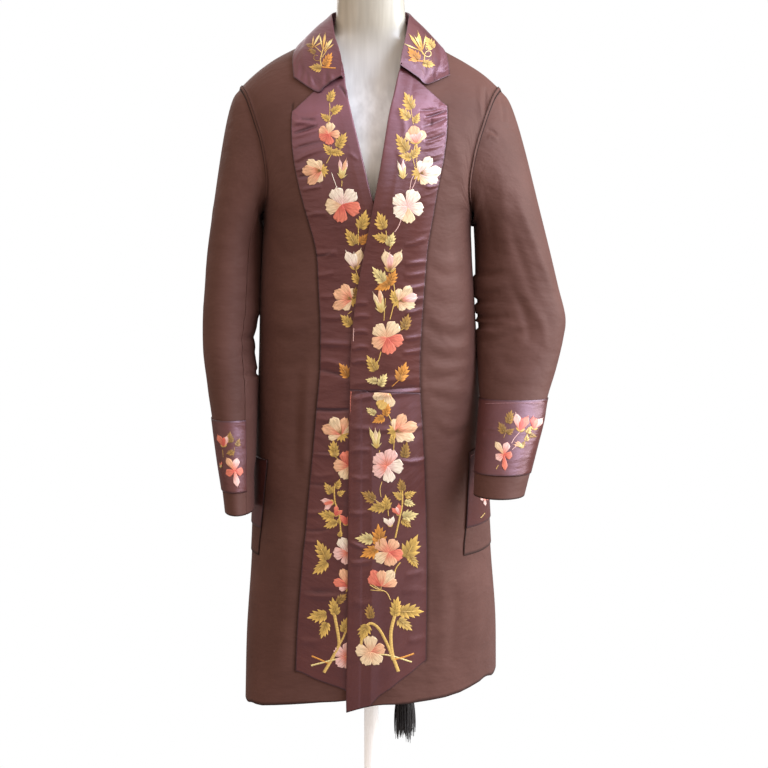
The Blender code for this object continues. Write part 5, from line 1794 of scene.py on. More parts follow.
def collar_side(side, front, back):
    """Ribs of half the collar: neck seam, roll, fall and outer edge."""
    seam_line = neckline(front, back)
    length = lengths(seam_line) / lengths(seam_line)[-1]
    ribs = []
    for number, row in enumerate(zip(*COLLAR_RIBS.values())):
        seam, roll_x, roll_y, roll_z, edge_x, edge_over = row
        foot = np.array([np.interp(seam, length, seam_line[:, k]) for k in range(3)])
        roll = np.array([side * roll_x, roll_y, roll_z])
        foot = foot + (roll - foot) * COLLAR_FOOT
        if number == 0:
            edge = shoulder_point(side, *COLLAR_TIP[side], COLLAR_LIFT)
        else:
            edge = over_shoulder(side, edge_x, edge_over, COLLAR_LIFT)
        ribs.append((foot, roll, edge))
    return ribs


def shoulder_point(side, x, z, lift):
    """A point at x and z on the front of the shoulder, lifted off the cloth."""
    up = (z - ARMPIT_Z) / (float(shoulder_z(side, x)) - ARMPIT_Z)
    return over_shoulder(side, x, math.degrees(math.asin(up)), lift)


def collar_grid(fronts, backs):
    """Whole collar, ribs from the left gorge round the back to the right gorge."""
    made = []
    for side in SIDES:
        half = []
        for number, (foot, roll, edge) in enumerate(collar_side(side, fronts[side], backs[side])):
            line = [foot, foot + (roll - foot) * COLLAR_STAND, roll]
            if number == 0:
                notch = shoulder_point(side, *NOTCH[side], COLLAR_LIFT)
                line += [roll + (notch - roll) * f for f in (0.34, 0.67)]
                line += [notch, edge]
            else:
                away = edge - np.array([0.0, 0.0, ARMPIT_Z])
                away /= np.linalg.norm(away)
                for f in (0.25, 0.5, 0.75):
                    line.append(roll + (edge - roll) * f + away * 4 * f * (1 - f) * COLLAR_SWELL)
                line.append(edge)
            half.append(np.array(line))
        made.append(half)
    left, right = made
    return np.array(left + right[-2::-1])


print("points of the collar:", collar_grid(fronts, backs).shape[:2])

# %% Collar
COLLAR_STEPS = (13, 12)
COLLAR_OUT = np.array([0.0, -1.0, 1.0])
# How much lower each end of the fine collar lies than the solid one, where it rolls over
# and at the notch, so that it meets the lapel's top as in the photo
COLLAR_END = {LEFT: (0.0045, 0.0065), RIGHT: (0.0215, 0.0060)}
COLLAR_END_REACH = 24           # rows over which that eases off
ROLL_COLUMN, NOTCH_COLUMN = 2 * COLLAR_STEPS[1], 5 * COLLAR_STEPS[1]
COLLAR_CREASES = numbers("""
424 66   425 71 425 76 1.3 -1.2
431 68   433 75 435 81 1.2 -1.8
434 72   436 77 438 82 0.9  1.3
436 74 437.5 78 438 82 0.8 -1.3
438 70   442 72 446 75 1.2 -1.7
433 48   434 57 435 66 1.8 -1.2
439 54   440 62 440 69   2  1.2
404 58   410 61 416 66 1.6  0.9
428 62   430 68 431 73 1.8    1
303 66   302 73 300 80 1.5 -1.3
299 64   298 72 297 79 1.4  1.1
308 72   307 79 308 86 1.6 -1.3
311 74   311 80 312 87 1.5  1.2
320 79   316 83 312 86 1.1 -1.5
317 82   317 86 316 90 0.9  1.2
326 70   326 79 324 89   2 -1.8
330 74   331 80 330 86   2  1.2
343 71   338 74 333 77 1.1 -1.3
318 40   316 52 314 62   3  0.9""")


def lower_ends(grid):
    """The collar with its end rows moved down the fronts, easing off along the collar."""
    made = grid.copy()
    rows, columns = grid.shape[:2]
    for side, row in ((LEFT, np.arange(rows)), (RIGHT, rows - 1 - np.arange(rows))):
        roll, notch = COLLAR_END[side]
        across = np.arange(columns)
        fall = np.interp(across, (0, ROLL_COLUMN, NOTCH_COLUMN, columns - 1), (roll, roll, notch, 0))
        fall = fall * (1 - smooth_step(0, COLLAR_END_REACH, row))[:, None]
        x, z = grid[..., 0], grid[..., 2]
        line = front_fine[side][:, 0]
        edge = np.interp(z - fall, line[:, 2], line[:, 0]) - np.interp(z, line[:, 2], line[:, 0])
        inner = 1 - smooth_step(ROLL_COLUMN, NOTCH_COLUMN, across)
        moved_x = x + edge * inner
        front = depth(side, "front", side * moved_x, z - fall) - depth(side, "front", side * x, z)
        made += np.stack([moved_x - x, front, -fall], -1) * (fall > 0)[..., None]
    return made


collar = lower_ends(finer(collar_grid(fronts, backs), *COLLAR_STEPS))
collar = creased(collar, COLLAR_OUT, COLLAR_CREASES)
cloth_piece("collar_satin", collar, COLLAR_OUT, satin, "collar",
            radius=0.0006, reach=0.003, dark=(SEWN / 2,) * 4)

# %% [markdown]
# ## Belt loop
# A strip of faille, a centimetre wide, that stands off the back where the cord runs
# through.

# %% Belt loop
LOOP_STEPS = (49, 13)           # points up the strip and across it
up = np.linspace(0, 1, LOOP_STEPS[0])[:, None]
across = np.linspace(-LOOP_WIDTH / 2, LOOP_WIDTH / 2, LOOP_STEPS[1])
loop_x, loop_z = np.broadcast_arrays(LOOP_X + across, LOOP_Z[0] + (LOOP_Z[1] - LOOP_Z[0]) * up)
loop_y = depth(LEFT, "back", loop_x, loop_z) + SEAM + WALL + LOOP_RISE * np.sin(math.pi * up) ** 0.8
cloth_piece("belt_loop_faille", together(loop_x, loop_y, loop_z), BACK_OUT, faille, "belt_loop",
            radius=0.0007, reach=0.003, dark=(SEWN / 2, SEWN / 2, SEWN, SEWN))

# %% [markdown]
# ## Dress form
# The form is pale glossy plastic. Its sections are squared ellipses, one for each
# height, and a rounded top closes the neck. The pole and the base keep the solids'
# own meshes, which are already right.

# %% Sections of the form
# Half widths and depths of its sections
FORM = table("""z half front back
   720   140  -88 100
   760   146  -92 106
   820   142  -92 104
   900   126  -88  92
   980   118  -86  86
  1060   126  -94  90
  1120   134 -102  96
  1180   146 -104 102
  1230   163  -80  96
  1270   175  -56  76
  1297 184.2  -38  60
  1319 161.6  -36  60
1337.1 133.2  -34  58
  1353 104.5  -33  55
1365.4    78  -34  52
1371.8    64  -36  52
  1380    57  -40  53
  1395    52  -42  52
  1420  49.5  -44  50
  1452    49  -46  48""")
FORM_ROUND = 0.92               # under 1 squares a section a little
FORM_STEPS = (170, 120)
FORM_EDGE = 0.006               # rounding of the form's top and bottom edges
FORM_EASE = 12                  # rows over which the front's profile is eased
CAP_SHARE = 0.02                # the closing rings' size, as a share of the end sections

form_z = np.linspace(FORM["z"][0], FORM["z"][-1], FORM_STEPS[0])
turn = np.linspace(0, 2 * math.pi, FORM_STEPS[1], endpoint=False)
half, front, back = (column(FORM, name, form_z)[:, None] for name in ("half", "front", "back"))
bell = np.exp(-(np.arange(-FORM_EASE, FORM_EASE + 1) / (0.45 * FORM_EASE))**2)
front[:, 0] = np.convolve(np.pad(front[:, 0], FORM_EASE, "edge"), bell / bell.sum(), "valid")
end = np.minimum(form_z - form_z[0], form_z[-1] - form_z)[:, None]
round_off = FORM_EDGE - np.sqrt(np.maximum(FORM_EDGE**2 - (FORM_EDGE - np.minimum(end, FORM_EDGE))**2, 0))
wide, deep = (np.sign(part) * np.abs(part) ** FORM_ROUND for part in (np.cos(turn), np.sin(turn)))
form_grid = together((half - round_off) * wide, (front + back) / 2 + ((back - front) / 2 - round_off) * deep,
                     form_z[:, None])
foot, top = (ring.mean(0) + (ring - ring.mean(0)) * CAP_SHARE for ring in (form_grid[0], form_grid[-1]))
form_grid = np.concatenate([foot[None], form_grid, top[None]])
form_faces = grid_faces(*form_grid.shape[:2], closed=True)
print("form faces:", len(form_faces))

# %% Plastic, and paint with a painted glow
# The plastic is milky and glossy, greyer up the neck. Its colour has a painted highlight, bluish white at
# middle heights, and painted upright streaks of reflection that also give a faint bump
PLASTIC_Z = (1.05, 1.45)        # heights between which the plastic's colour changes
PLASTIC_AND_HIGHLIGHT = (
    (0.00, (0.70, 0.71, 0.66)),
    (0.28, (0.80, 0.83, 0.82)),
    (0.50, (0.88, 0.93, 0.98)),
    (0.66, (0.82, 0.86, 0.88)),
    (0.84, (0.56, 0.54, 0.46)),
    (1.00, (0.46, 0.44, 0.37)),
)
plastic, tree, shader = new_material("pale_plastic", Roughness=0.38, Coat_Weight=0.25, Coat_Roughness=0.22)
plastic_and_highlight = ramp_node(tree, raised_part(tree, PLASTIC_Z), *PLASTIC_AND_HIGHLIGHT)
streaks = noise_node(tree, add_node(tree, "TexCoord").outputs["Object"], 70.0, 2.0, (1.0, 1.0, 0.06))
painted_streaks = ramp_node(tree, streaks, (0.35, (0.80, 0.80, 0.80)), (0.65, WHITE))
fill(tree, shader, Base_Color=multiplied(tree, plastic_and_highlight, painted_streaks), Normal=bump_node(tree, streaks, 0.3, 0.003))
place_piece("form_plastic", mesh_from("form_plastic", form_grid, form_faces), plastic, ["form_torso"])
# painted glow: the white paint of the pole and the base also emits light, so that they stay white against the
# white sheet
paint, tree, shader = new_material("white_paint", Base_Color=(0.95, 0.95, 0.95), Roughness=0.35,
                                   Emission_Color=WHITE, Emission_Strength=0.25)
for name in ("form_pole", "form_base"):
    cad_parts[name].data.materials.clear()
    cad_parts[name].data.materials.append(paint)
print("looks of the form:", plastic.name, paint.name)

# %% [markdown]
# ## Embroidery
# Roses, buds and leaves are worked on the satin in silk, in satin stitch: threads laid
# side by side from one edge of a petal to the other. Each petal, leaf and stalk is a
# small padded patch, a grid with one parameter from foot to tip and one from side to
# side. Its outline is a formula, its height a low dome, and its colour runs from the
# heart outwards. A table gives each motif's middle in the picture, its size in
# millimetres, the way that its tip points (0 is right, 90 is up) and its silks.
#
# A patch is laid on the satin by looking for the place of the satin that is seen where
# the patch should be. Newton's method does that: the satin's grid is read at a first
# guess, the miss in pixels is turned into a step in rows and columns, and so on.

# %% Lay patches on cloth
NEWTON_STEPS = 8


def read_at(values, at):
    """A grid's values at fractional rows and columns, straight between the four nearest."""
    low = np.clip(np.floor(at).astype(int), 0, np.array(values.shape[:2]) - 2)
    f = (at - low)[..., None]
    row, col = low[:, 0], low[:, 1]
    return (values[row, col] * (1 - f[:, 0]) * (1 - f[:, 1]) + values[row + 1, col] * f[:, 0] * (1 - f[:, 1])
            + values[row, col + 1] * (1 - f[:, 0]) * f[:, 1] + values[row + 1, col + 1] * f[:, 0] * f[:, 1])


class Ground:
    """A piece of satin to embroider: its grid, its normals and where it is seen."""

    def __init__(self, grid, outward):
        self.grid, self.normals = grid, grid_normals(grid, outward)
        self.flat = seen(grid)
        self.front = (self.normals * (CAMERA - grid)).sum(-1) > 0
        self.patches = []

    def find(self, place):
        """Rows and columns of the grid that are seen at places in the picture."""
        away = ((self.flat - place.mean(0))**2).sum(-1) + np.where(self.front, 0.0, 1e6)
        start = np.unravel_index(away.argmin(), away.shape)
        at = np.tile(np.array(start, float), (len(place), 1))
        last = np.array(self.flat.shape[:2]) - 1.0
        for _ in range(NEWTON_STEPS):
            miss = place - read_at(self.flat, at)
            down = read_at(self.flat, at + [0.5, 0.0]) - read_at(self.flat, at - [0.5, 0.0])
            along = read_at(self.flat, at + [0.0, 0.5]) - read_at(self.flat, at - [0.0, 0.5])
            area = down[:, 0] * along[:, 1] - down[:, 1] * along[:, 0]
            area = np.where(np.abs(area) < 1e-4, 1e-4, area)
            step = np.stack([(miss[:, 0] * along[:, 1] - miss[:, 1] * along[:, 0]) / area,
                             (down[:, 0] * miss[:, 1] - down[:, 1] * miss[:, 0]) / area], -1)
            at = np.clip(at + np.clip(step, -20, 20), 0.6, last - 0.6)
        return at

    def lay(self, place, height, colour, thread):
        """Add a patch: places in the picture, heights in metres, colours and thread lengths."""
        shape = place.shape[:2]
        at = self.find(place.reshape(-1, 2))
        points_in = read_at(self.grid, at) + unit(read_at(self.normals, at)) * height.reshape(-1, 1)
        self.patches.append((points_in.reshape(*shape, 3), colour, thread))


print("steps of Newton's method:", NEWTON_STEPS)

# %% Silks
def from_screen(colour):
    """A colour as a screen shows it, made linear."""
    value = np.array(colour) / 255.0
    return np.where(value < 0.04045, value / 12.92, ((value + 0.055) / 1.055)**2.4)


SILKS = {silk: from_screen(colour) for silk, colour in {
    "g": (224, 186, 96), "o": (226, 156, 66), "v": (170, 132, 64), "l": (240, 222, 152),
    "y": (230, 194, 110), "b": (128, 92, 48), "w": (250, 238, 218), "c": (244, 220, 180),
    "e": (240, 188, 148), "p": (243, 200, 192), "r": (234, 132, 108), "d": (214, 96, 82),
    "m": (186, 140, 146)}.items()}
HEART = {"w": "p", "c": "e", "e": "r", "p": "r", "r": "d", "d": "d", "y": "o", "l": "g"}
GREEN, VEIN = SILKS["g"], SILKS["v"]
print("silks:", len(SILKS))

# %% Patches of stitches
PAD = 0.00012                   # every patch's edge lies this far above the satin
DOME = 0.00050                  # and its middle this much higher
PETAL_GRID, LOBE_GRID = (12, 13), (7, 5)    # rows and columns of a petal's and of a lobe's patch


def patch_axes(rows, columns):
    return np.linspace(0, 1, rows)[:, None], np.linspace(-1, 1, columns)[None]


def petal_patch(length, wide, notch):
    """Foot at 0 and tip at `length`: half width goes as s^0.72 times a quarter circle near the tip; the
    tip dips by `notch` in the middle and is ruffled by a cosine."""
    s, t = patch_axes(*PETAL_GRID)
    half = 1.06 * wide * s**0.72 * np.sqrt(np.clip(1 - (s * 0.985)**6, 0, 1))
    ruffle = 0.035 * np.cos(3 * math.pi * t) - notch * np.exp(-(t / 0.3)**2) - 0.10 * t**2
    height = PAD + DOME * np.sqrt(1 - t**4 * 0.98) * np.sin(math.pi * np.clip(0.15 + 0.80 * s, 0, 1))
    return np.broadcast_arrays(half * t, length * (s + s**4 * ruffle), height, s, t)


def pointed_patch(length, wide):
    """A pointed lobe: half width goes as sin(pi s^0.65), which is widest near the foot."""
    s, t = patch_axes(*LOBE_GRID)
    half = wide * np.sin(math.pi * np.clip(s, 0.02, 0.99)**0.65)
    height = PAD + DOME * 0.8 * np.sqrt(1 - t**4 * 0.98) * (1 - 0.6 * s)
    return np.broadcast_arrays(half * t, length * s, height, s, t)


def stitch(ground, patch, middle, turn, heart, edge, lift=0.0):
    """Lay one patch, its own axes turned by `turn` degrees about its foot, in millimetres. Long and
    short stitches blend the heart's colour into the edge's: the blend shifts from side to side."""
    x, y, height, s, t = patch
    angle = math.radians(turn)
    right = y * math.cos(angle) + x * math.sin(angle)
    upward = y * math.sin(angle) - x * math.cos(angle)
    place = np.stack([middle[0] + right * 0.001 / PIXEL, middle[1] - upward * 0.001 / PIXEL], -1)
    blend = smooth_step(0.02, 0.72, s + 0.09 * np.sin(11 * t + turn))[..., None]
    rim = 0.94 + 0.10 * smooth_step(0.55, 1.0, np.maximum(np.abs(t), s))[..., None]
    colour = (heart * (1 - blend) + edge * blend) * rim
    ground.lay(place, height + lift, colour, np.stack([y, x], -1) * 0.001)


def foot_of(x, y, size, turn, share):
    """The foot of a motif whose middle is at x, y: a share of its size back along its way."""
    angle = math.radians(turn)
    back = size * share * 0.001 / PIXEL
    return x - back * math.cos(angle), y + back * math.sin(angle)


print("one petal's patch:", petal_patch(30.0, 10.0, 0.1)[0].shape)

# %% Leaves
# Lobes of a leaf: where each leaves the midrib, its turn, its length and half width, as
# shares of the leaf's length
LEAF_LOBES = ((0.04, 66, 0.34, 0.095), (0.12, 50, 0.46, 0.110), (0.30, 40, 0.44, 0.105),
              (0.46, 28, 0.38, 0.090))
SMALL_LEAF = 15                 # a leaf no longer than this has one pair of lobes less


def leaf(ground, x, y, length, turn, silk):
    """A leaf: pairs of pointed lobes along a midrib, a longer one at its tip and a darker vein on top; one
    side's lobes get painted light and the other's painted shade.
    """
    foot = np.array(foot_of(x, y, length, turn, 0.5))
    way = np.array([math.cos(math.radians(turn)), -math.sin(math.radians(turn))]) * length * 0.001 / PIXEL
    tint = SILKS[silk] * (0.88 + 0.2 * abs(math.sin(12.9 * x + 78.2 * y)))
    # painted light and shade: the lobes on one side of the midrib, chosen by the way the leaf points, are
    # made lighter (1.16) and the others darker (0.84)
    light = 1 if math.cos(math.radians(turn)) < 0 else -1
    for number, (at, lean, long, half) in enumerate(LEAF_LOBES if length > SMALL_LEAF else LEAF_LOBES[1:]):
        for hand in (-1, 1):
            sway = 1 + 0.12 * math.sin(5.1 * number + 2.3 * hand + y)
            shade = 1.16 if hand == light else 0.84
            stitch(ground, pointed_patch(length * long * sway, length * half), foot + way * at,
                   turn + hand * lean, tint * 0.50, tint * shade, 0.00008 * number)
    stitch(ground, pointed_patch(length * 0.52, length * 0.105), foot + way * 0.48, turn, tint * 0.78,
           tint * 1.05, 0.0004)
    stitch(ground, pointed_patch(length * 0.76, length * 0.020), foot, turn, VEIN, tint, 0.00075)


print("lobes of a leaf:", 2 * len(LEAF_LOBES) + 1)

# %% Flowers
# Each kind of flower: how far its foot lies behind its middle and how deep its petals are
# notched, then its petals' way, length and half width, the last two as shares of its
# size, and which of its silks each takes
FLOWERS = {
    "open": (0.0, 0.10, ((0, 0.53, 0.27, 0), (144, 0.50, 0.28, 2), (288, 0.53, 0.26, 4), (72, 0.54, 0.28, 1),
                         (216, 0.50, 0.27, 3))),
    "side": (0.30, 0.07, ((-74, 0.46, 0.20, 0), (74, 0.48, 0.20, 4), (-38, 0.72, 0.24, 1),
                          (38, 0.74, 0.25, 3), (0, 0.80, 0.26, 2))),
    "rose": (0.40, 0.02, ((-40, 0.70, 0.30, 0), (40, 0.72, 0.30, 4), (0, 0.84, 0.36, 2), (-22, 0.62, 0.26, 1),
                          (20, 0.54, 0.24, 3))),
    "cup": (0.46, -0.10, ((-25, 0.86, 0.24, 0), (24, 0.90, 0.25, 2), (2, 0.68, 0.22, 1))),
    "bud": (0.44, -0.12, ((-9, 0.84, 0.12, 0), (10, 0.86, 0.12, 2), (0, 0.92, 0.11, 1))),
    "spray": (0.5, -0.12, ((-23, 0.78, 0.055, 0), (22, 0.82, 0.055, 2), (-2, 0.98, 0.085, 1))),
    "umbel": (0.3, 0.05, ((62, 0.62, 0.22, 0), (34, 0.66, 0.22, 1), (-60, 0.62, 0.22, 4),
                          (-32, 0.68, 0.23, 3), (2, 0.62, 0.24, 2))),
    "drop": (-0.03, -0.04, ((26, 0.46, 0.13, 0), (-20, 0.44, 0.15, 1), (112, 0.28, 0.18, 2),
                            (-108, 0.30, 0.18, 3), (183, 0.50, 0.12, 4))),
}
SEPALS = {"side": (118, 150, 180, -145, -112), "rose": (-75, 75, 180), "cup": (-55, 55)}
BUD_SEPALS = ((-16, 0.66, 0.075), (17, 0.62, 0.075), (0, 0.46, 0.09), (-46, 0.36, 0.03), (44, 0.34, 0.03))
STAMENS = (-30, -16, -3, 10, 24)
STAMENS_FROM = 30               # side views larger than this show their stamens
PETAL_LIFT = 0.00010            # each petal lies this much above the one before it


def flower(ground, kind, x, y, size, turn, silks):
    """A flower: one patch for each petal, with green sepals and, in a side view, fine stamens."""
    back, notch, petals = FLOWERS[kind]
    foot = foot_of(x, y, size, turn, back)
    for way in SEPALS.get(kind, ()):
        stitch(ground, pointed_patch(size * 0.30, size * 0.065), foot, turn + way, GREEN * 0.8, GREEN)
    for number, (way, length, wide, silk) in enumerate(petals):
        silk = silks[silk % len(silks)]
        long = size * length * (1 + 0.07 * math.sin(3.1 * number + x))
        patch = petal_patch(long, size * wide * (1 + 0.06 * math.sin(5 * number + y)), notch)
        stitch(ground, patch, foot, turn + way + 5 * math.sin(2.2 * number + y), SILKS[HEART.get(silk, silk)],
               SILKS[silk] * (0.94 + 0.07 * (number % 3) / 2), PETAL_LIFT * number)
    for way, long, wide in BUD_SEPALS if kind == "bud" else ():
        stitch(ground, pointed_patch(size * long, size * wide), foot, turn + way, GREEN * 0.85,
               SILKS["l"] * 0.9, 0.0006)
    for way in STAMENS if kind in ("side", "cup") and size > STAMENS_FROM else ():
        stitch(ground, pointed_patch(size * (0.30 + 0.05 * math.sin(way)), size * 0.012), foot, turn + way,
               SILKS["b"], VEIN, 0.00080)


print("kinds of flower:", list(FLOWERS))

# %% Stalks
def stalk(ground, wide, silk, line):
    """A ribbon of stitches along a smooth line through a few places in the picture."""
    if len(line) == 2:
        line = np.array([line[0], line.mean(0), line[1]])
    steps = max(6, int(lengths(line)[-1] / 2.0))
    fine = through(np.linspace(0, len(line) - 1, steps), line)
    way = unit(np.gradient(fine, axis=0))
    side = np.stack([-way[:, 1], way[:, 0]], -1)
    t = np.linspace(-1, 1, LOBE_GRID[1])
    half = wide * 0.0005 / PIXEL
    place = fine[:, None] + side[:, None] * (t * half)[None, :, None]
    height = np.broadcast_to(PAD + DOME * 0.8 * np.sqrt(1 - t**2 * 0.98), (steps, len(t)))
    tint = SILKS[silk] * (1.0 - 0.25 * (t > 0.2))[None, :, None] * np.ones((steps, 1, 1))
    ground.lay(place, height, tint, together(t * half * PIXEL, (lengths(fine) * PIXEL)[:, None]))

# %% [markdown]
# Each motif is a line. A stalk has its width, its silk and the places that it runs
# through. A leaf has its middle, length, way and silk. A flower starts with its kind, and
# ends with the silks of its petals.

# %% Motifs of the lapels
MOTIFS = {}
MOTIFS["lapel", RIGHT] = """stalk 1.2 g  329.5 103  329.9 110  329 120  328.5 124.6
stalk 1.2 g  336.8 147.8  331.6 153.9  326.4 163.3
stalk 1 g  337 112  331 116  329.6 121
stalk 1 w  331.6 172.8  334 180  336.8 187.4
stalk 1.2 g  342 180.5  341.6 186.6
stalk 1.4 g  358.3 225  358.3 245
stalk 1.4 g  355.8 270  360 284  356.5 291
stalk 1.2 g  358.5 300  356.8 307  355 313
stalk 1.2 g  352 311  348 314
leaf 331.6 95.3 20 70 g
leaf 337.6 109 20 30 g
leaf 324.7 116.8 16 140 g
leaf 342 140 26 60 g
leaf 327.3 148.7 19 130 g
leaf 338.5 153 19 -10 g
leaf 363.5 219.3 30 75 g
leaf 350.5 236.5 28 120 g
leaf 364.3 238.2 21 50 o
leaf 355.8 277.9 20 130 g
leaf 354.5 293 20 75 v
leaf 345.7 320 23 135 g
leaf 343.9 369.8 26 125 o
open 328.2 134 32 70 cerre
side 314 171.2 38 183 cceec
bud 342.8 169.5 32 80 pep
open 342 204.6 53 48 wwcrr
cup 354.4 259 34 95 cww
side 344.2 296.8 40 162 ceeec"""
MOTIFS["lapel", LEFT] = """stalk 1.2 g  410.8 107.4  411.7 115  413.4 124.6
stalk 1.2 g  415 145  412.5 156.4  415 166.8
stalk 1 g  417.5 146  416.6 160  417 170
stalk 1 p  413.5 175.4  411 181  409.8 190
stalk 1 p  417.2 176  414.6 183  411.5 190
stalk 1.2 p  401.6 218  398.6 226  394.6 232
stalk 1.4 g  385.8 230.5  387.6 245
stalk 1.2 g  389.5 249.5  392 245
stalk 1.4 g  393.7 284  395 298  392.8 308  390 319.3
stalk 1.2 g  385.3 298.2  384.5 309  383.9 320.7
stalk 1.2 g  401 330  404.5 328
stalk 1.4 g  381 351.6  378.2 361.4
stalk 1.2 o  399 380  392 386.5
stalk 0.9 p  353.8 328  353.4 334  353.2 341
leaf 408.2 100.5 28 115 g
leaf 403.9 113.4 23 135 g
leaf 416.8 117.7 17 60 g
leaf 401.3 142.7 31 120 g
leaf 416 152 21 48 g
leaf 404.8 156.4 20 172 g
leaf 380.7 220.2 28 110 g
leaf 379 237.4 22 165 g
leaf 391 239 22 70 l
leaf 378.2 274.4 29 128 l
leaf 392.3 277.2 25 65 o
leaf 381.8 287 24 200 o
leaf 393.7 295.4 20 115 g
leaf 406.3 321.4 25 75 v
leaf 371.2 362.8 27 120 g
leaf 371.2 380.4 18 170 l
leaf 383.2 379.6 22 60 l
leaf 402.8 371.2 30 70 o
rose 415.2 135 31 95 cpepc
bud 402.2 170.2 30 95 wpw
side 427.6 171.6 42 12 cwwww
open 407.4 207.2 50 -8 wwwwc
cup 390.9 260.4 37 84 cpc
bud 379.6 302 37 100 cec
side 406 299 38 15 ccpcc
open 386.7 337.5 50 -10 rccer"""
print("motifs so far:", sum(len(rows.splitlines()) for rows in MOTIFS.values()))

# %% Motifs of the bands
MOTIFS["band", RIGHT] = """stalk 2.2 g  334 485.7  335 502  339 514.3  341 534.7
stalk 1.2 g  333 455  338 459
stalk 4.6 y  334 612  339 643  334 655  324 672.5
stalk 3 y  347.5 626  343 638  337 648
stalk 2.4 o  311.6 656  320 659.5  328 663.3
stalk 2.6 l  311 665.6  329 661  347.3 656.5
leaf 334 448 26 95 g
leaf 328 487.8 20 120 g
leaf 338.2 483.7 16 70 g
leaf 341.2 492.9 15 25 g
leaf 326 515.3 25 165 g
leaf 330 524.5 21 200 g
leaf 339.2 520.4 12 80 g
leaf 340.2 533.7 12 80 g
leaf 321.8 550 34 115 g
leaf 319.8 568 28 220 g
leaf 342.2 598 20 45 v
leaf 334 606 27 100 g
leaf 316.7 616.3 30 190 g
leaf 323.9 630.6 26 250 g
leaf 345.3 624.5 24 75 g
side 337.6 427.5 40 118 cecec
open 348.6 466 44 100 recer
cup 327.6 503.4 20 195 prp
cup 337.4 511.6 17 60 rdr
cup 345.6 519.4 20 95 rdr
open 347 552 42 120 wpppw
side 346 580 36 120 rrerp
open 347 657 40 150 ppppp"""
MOTIFS["band", LEFT] = """stalk 1.4 g  388 414  391.5 421  394.5 427  394 440  393.5 452
stalk 1.4 g  379.6 450  379.4 453
stalk 1.2 y  382 481.6  380 489  381 497
stalk 1 g  374 499  380 503.5
stalk 2.5 g  402.4 487.8  402.4 502  399.4 518.4  395.3 537.7
stalk 1.4 g  388 510  388.4 516
stalk 1.8 g  400.4 562.3  396 568  394.3 574.6
stalk 1.4 y  369.8 585  377 589  386 592  390.5 600
stalk 1 y  370.5 590  376 590.5  383 591
stalk 1 y  372 584  376.4 587  381 590
stalk 1.3 y  383.6 582  381.4 586  380.8 589
stalk 4.2 y  361 646  363 632  370 623.6  379 629  388 646  393 660
stalk 5 y  395.3 613.3  391 632  392 652  398.3 671.4
stalk 2.4 l  379 654  392 656  411.7 662
stalk 2.6 o  394 659.5  404 657  414 653.5
stalk 0.8 r  351.2 388  350.4 405  349.8 430
stalk 0.6 r  349.2 450  348.8 480  348.2 520
leaf 370.8 411 17 145 l
leaf 387 409.5 20 75 o
leaf 378 420 20 205 o
leaf 392 439.8 15 100 g
leaf 405.5 449.5 25 80 v
leaf 367.8 496 25 150 v
leaf 376 508 26 190 g
leaf 386 502 23 95 g
leaf 401.4 484.7 20 105 v
leaf 397.3 495 18 150 g
leaf 410.6 494 18 20 g
leaf 410 503.5 17 -15 l
leaf 410.6 515.3 25 12 l
leaf 406.5 523.5 18 -40 g
leaf 363.7 538.8 27 175 l
leaf 379 534.7 34 95 o
leaf 368.8 553 29 205 o
leaf 411.6 546 40 62 g
leaf 413.7 562 22 -58 g
leaf 396.3 606 30 80 g
leaf 412 611.5 36 0 g
leaf 405.4 625 27 -40 y
leaf 369.8 611 23 100 v
leaf 363.7 633.6 28 250 g
rose 383.6 400.5 32 245 ccycc
side 403 428.5 42 18 cceec
bud 375.9 438.7 33 95 lcl
open 387 466.3 49 -5 wpppw
cup 397.3 510.2 18 115 rpr
cup 389.6 521.4 18 100 www
open 388.6 552.5 45 62 eecer
umbel 382.5 578 42 84 rrece
open 370.4 652 45 22 ecccc"""
print("motifs so far:", sum(len(rows.splitlines()) for rows in MOTIFS.values()))

# %% Motifs of the collar, the cuffs and the pocket
MOTIFS["collar", LEFT] = """stalk 2 o  408.5 60.2  416 60.8  423 61.2
stalk 1.6 y  423.8 61  424.4 55  421 51  418.5 48
stalk 1.2 l  424.4 55  427.6 57  431 55  430.6 51.6  427 51  425 54
stalk 1 l  426.4 50  425.6 46  428 43.2  430.6 45.4  429.6 49.4
stalk 1.2 y  423 54.6  421.8 50.4  421.4 46.6
stalk 2 o  321.7 67  329 67.8  335.8 68.2
stalk 1.8 y  321.6 66.4  320.4 60  322 53  323.6 47.4
stalk 1.2 y  321.4 52.6  318 49.4  314.8 46.4
stalk 1.2 y  322 57.6  325 53  326.6 50.4
stalk 1.2 v  320.4 60  316.6 61  313.6 58.6  314.8 55.4  318 56
stalk 1 v  307.5 50.8  311.4 51.6  314.5 55
leaf 413 54 25 128 o
leaf 429 64.3 19 -12 g
leaf 429 42.6 22 122 y
leaf 315 67.8 19 172 g
leaf 328.4 59.3 23 60 o
leaf 309.5 45.2 12 170 v
leaf 312.5 51 13 150 v
spray 414.4 43.4 30 130 lyl
spray 420.8 41 28 103 lyl
spray 324.4 41.8 26 80 lyl
spray 315.8 42 22 60 yly
spray 328 46 21 58 yly"""
MOTIFS["cuff", RIGHT] = """stalk 1 v  222.6 449.6  223.3 457.3
stalk 1 v  234.4 447.3  233.2 456.6
leaf 230.2 437 17 92 v
leaf 238 442.7 14 70 v
leaf 230.2 452.6 13 200 v
leaf 231.8 453 11 20 v
cup 223.6 440.6 21 92 pdr
drop 234.6 471.5 45 95 eprrp
bud 221.2 465 9 90 rrr"""
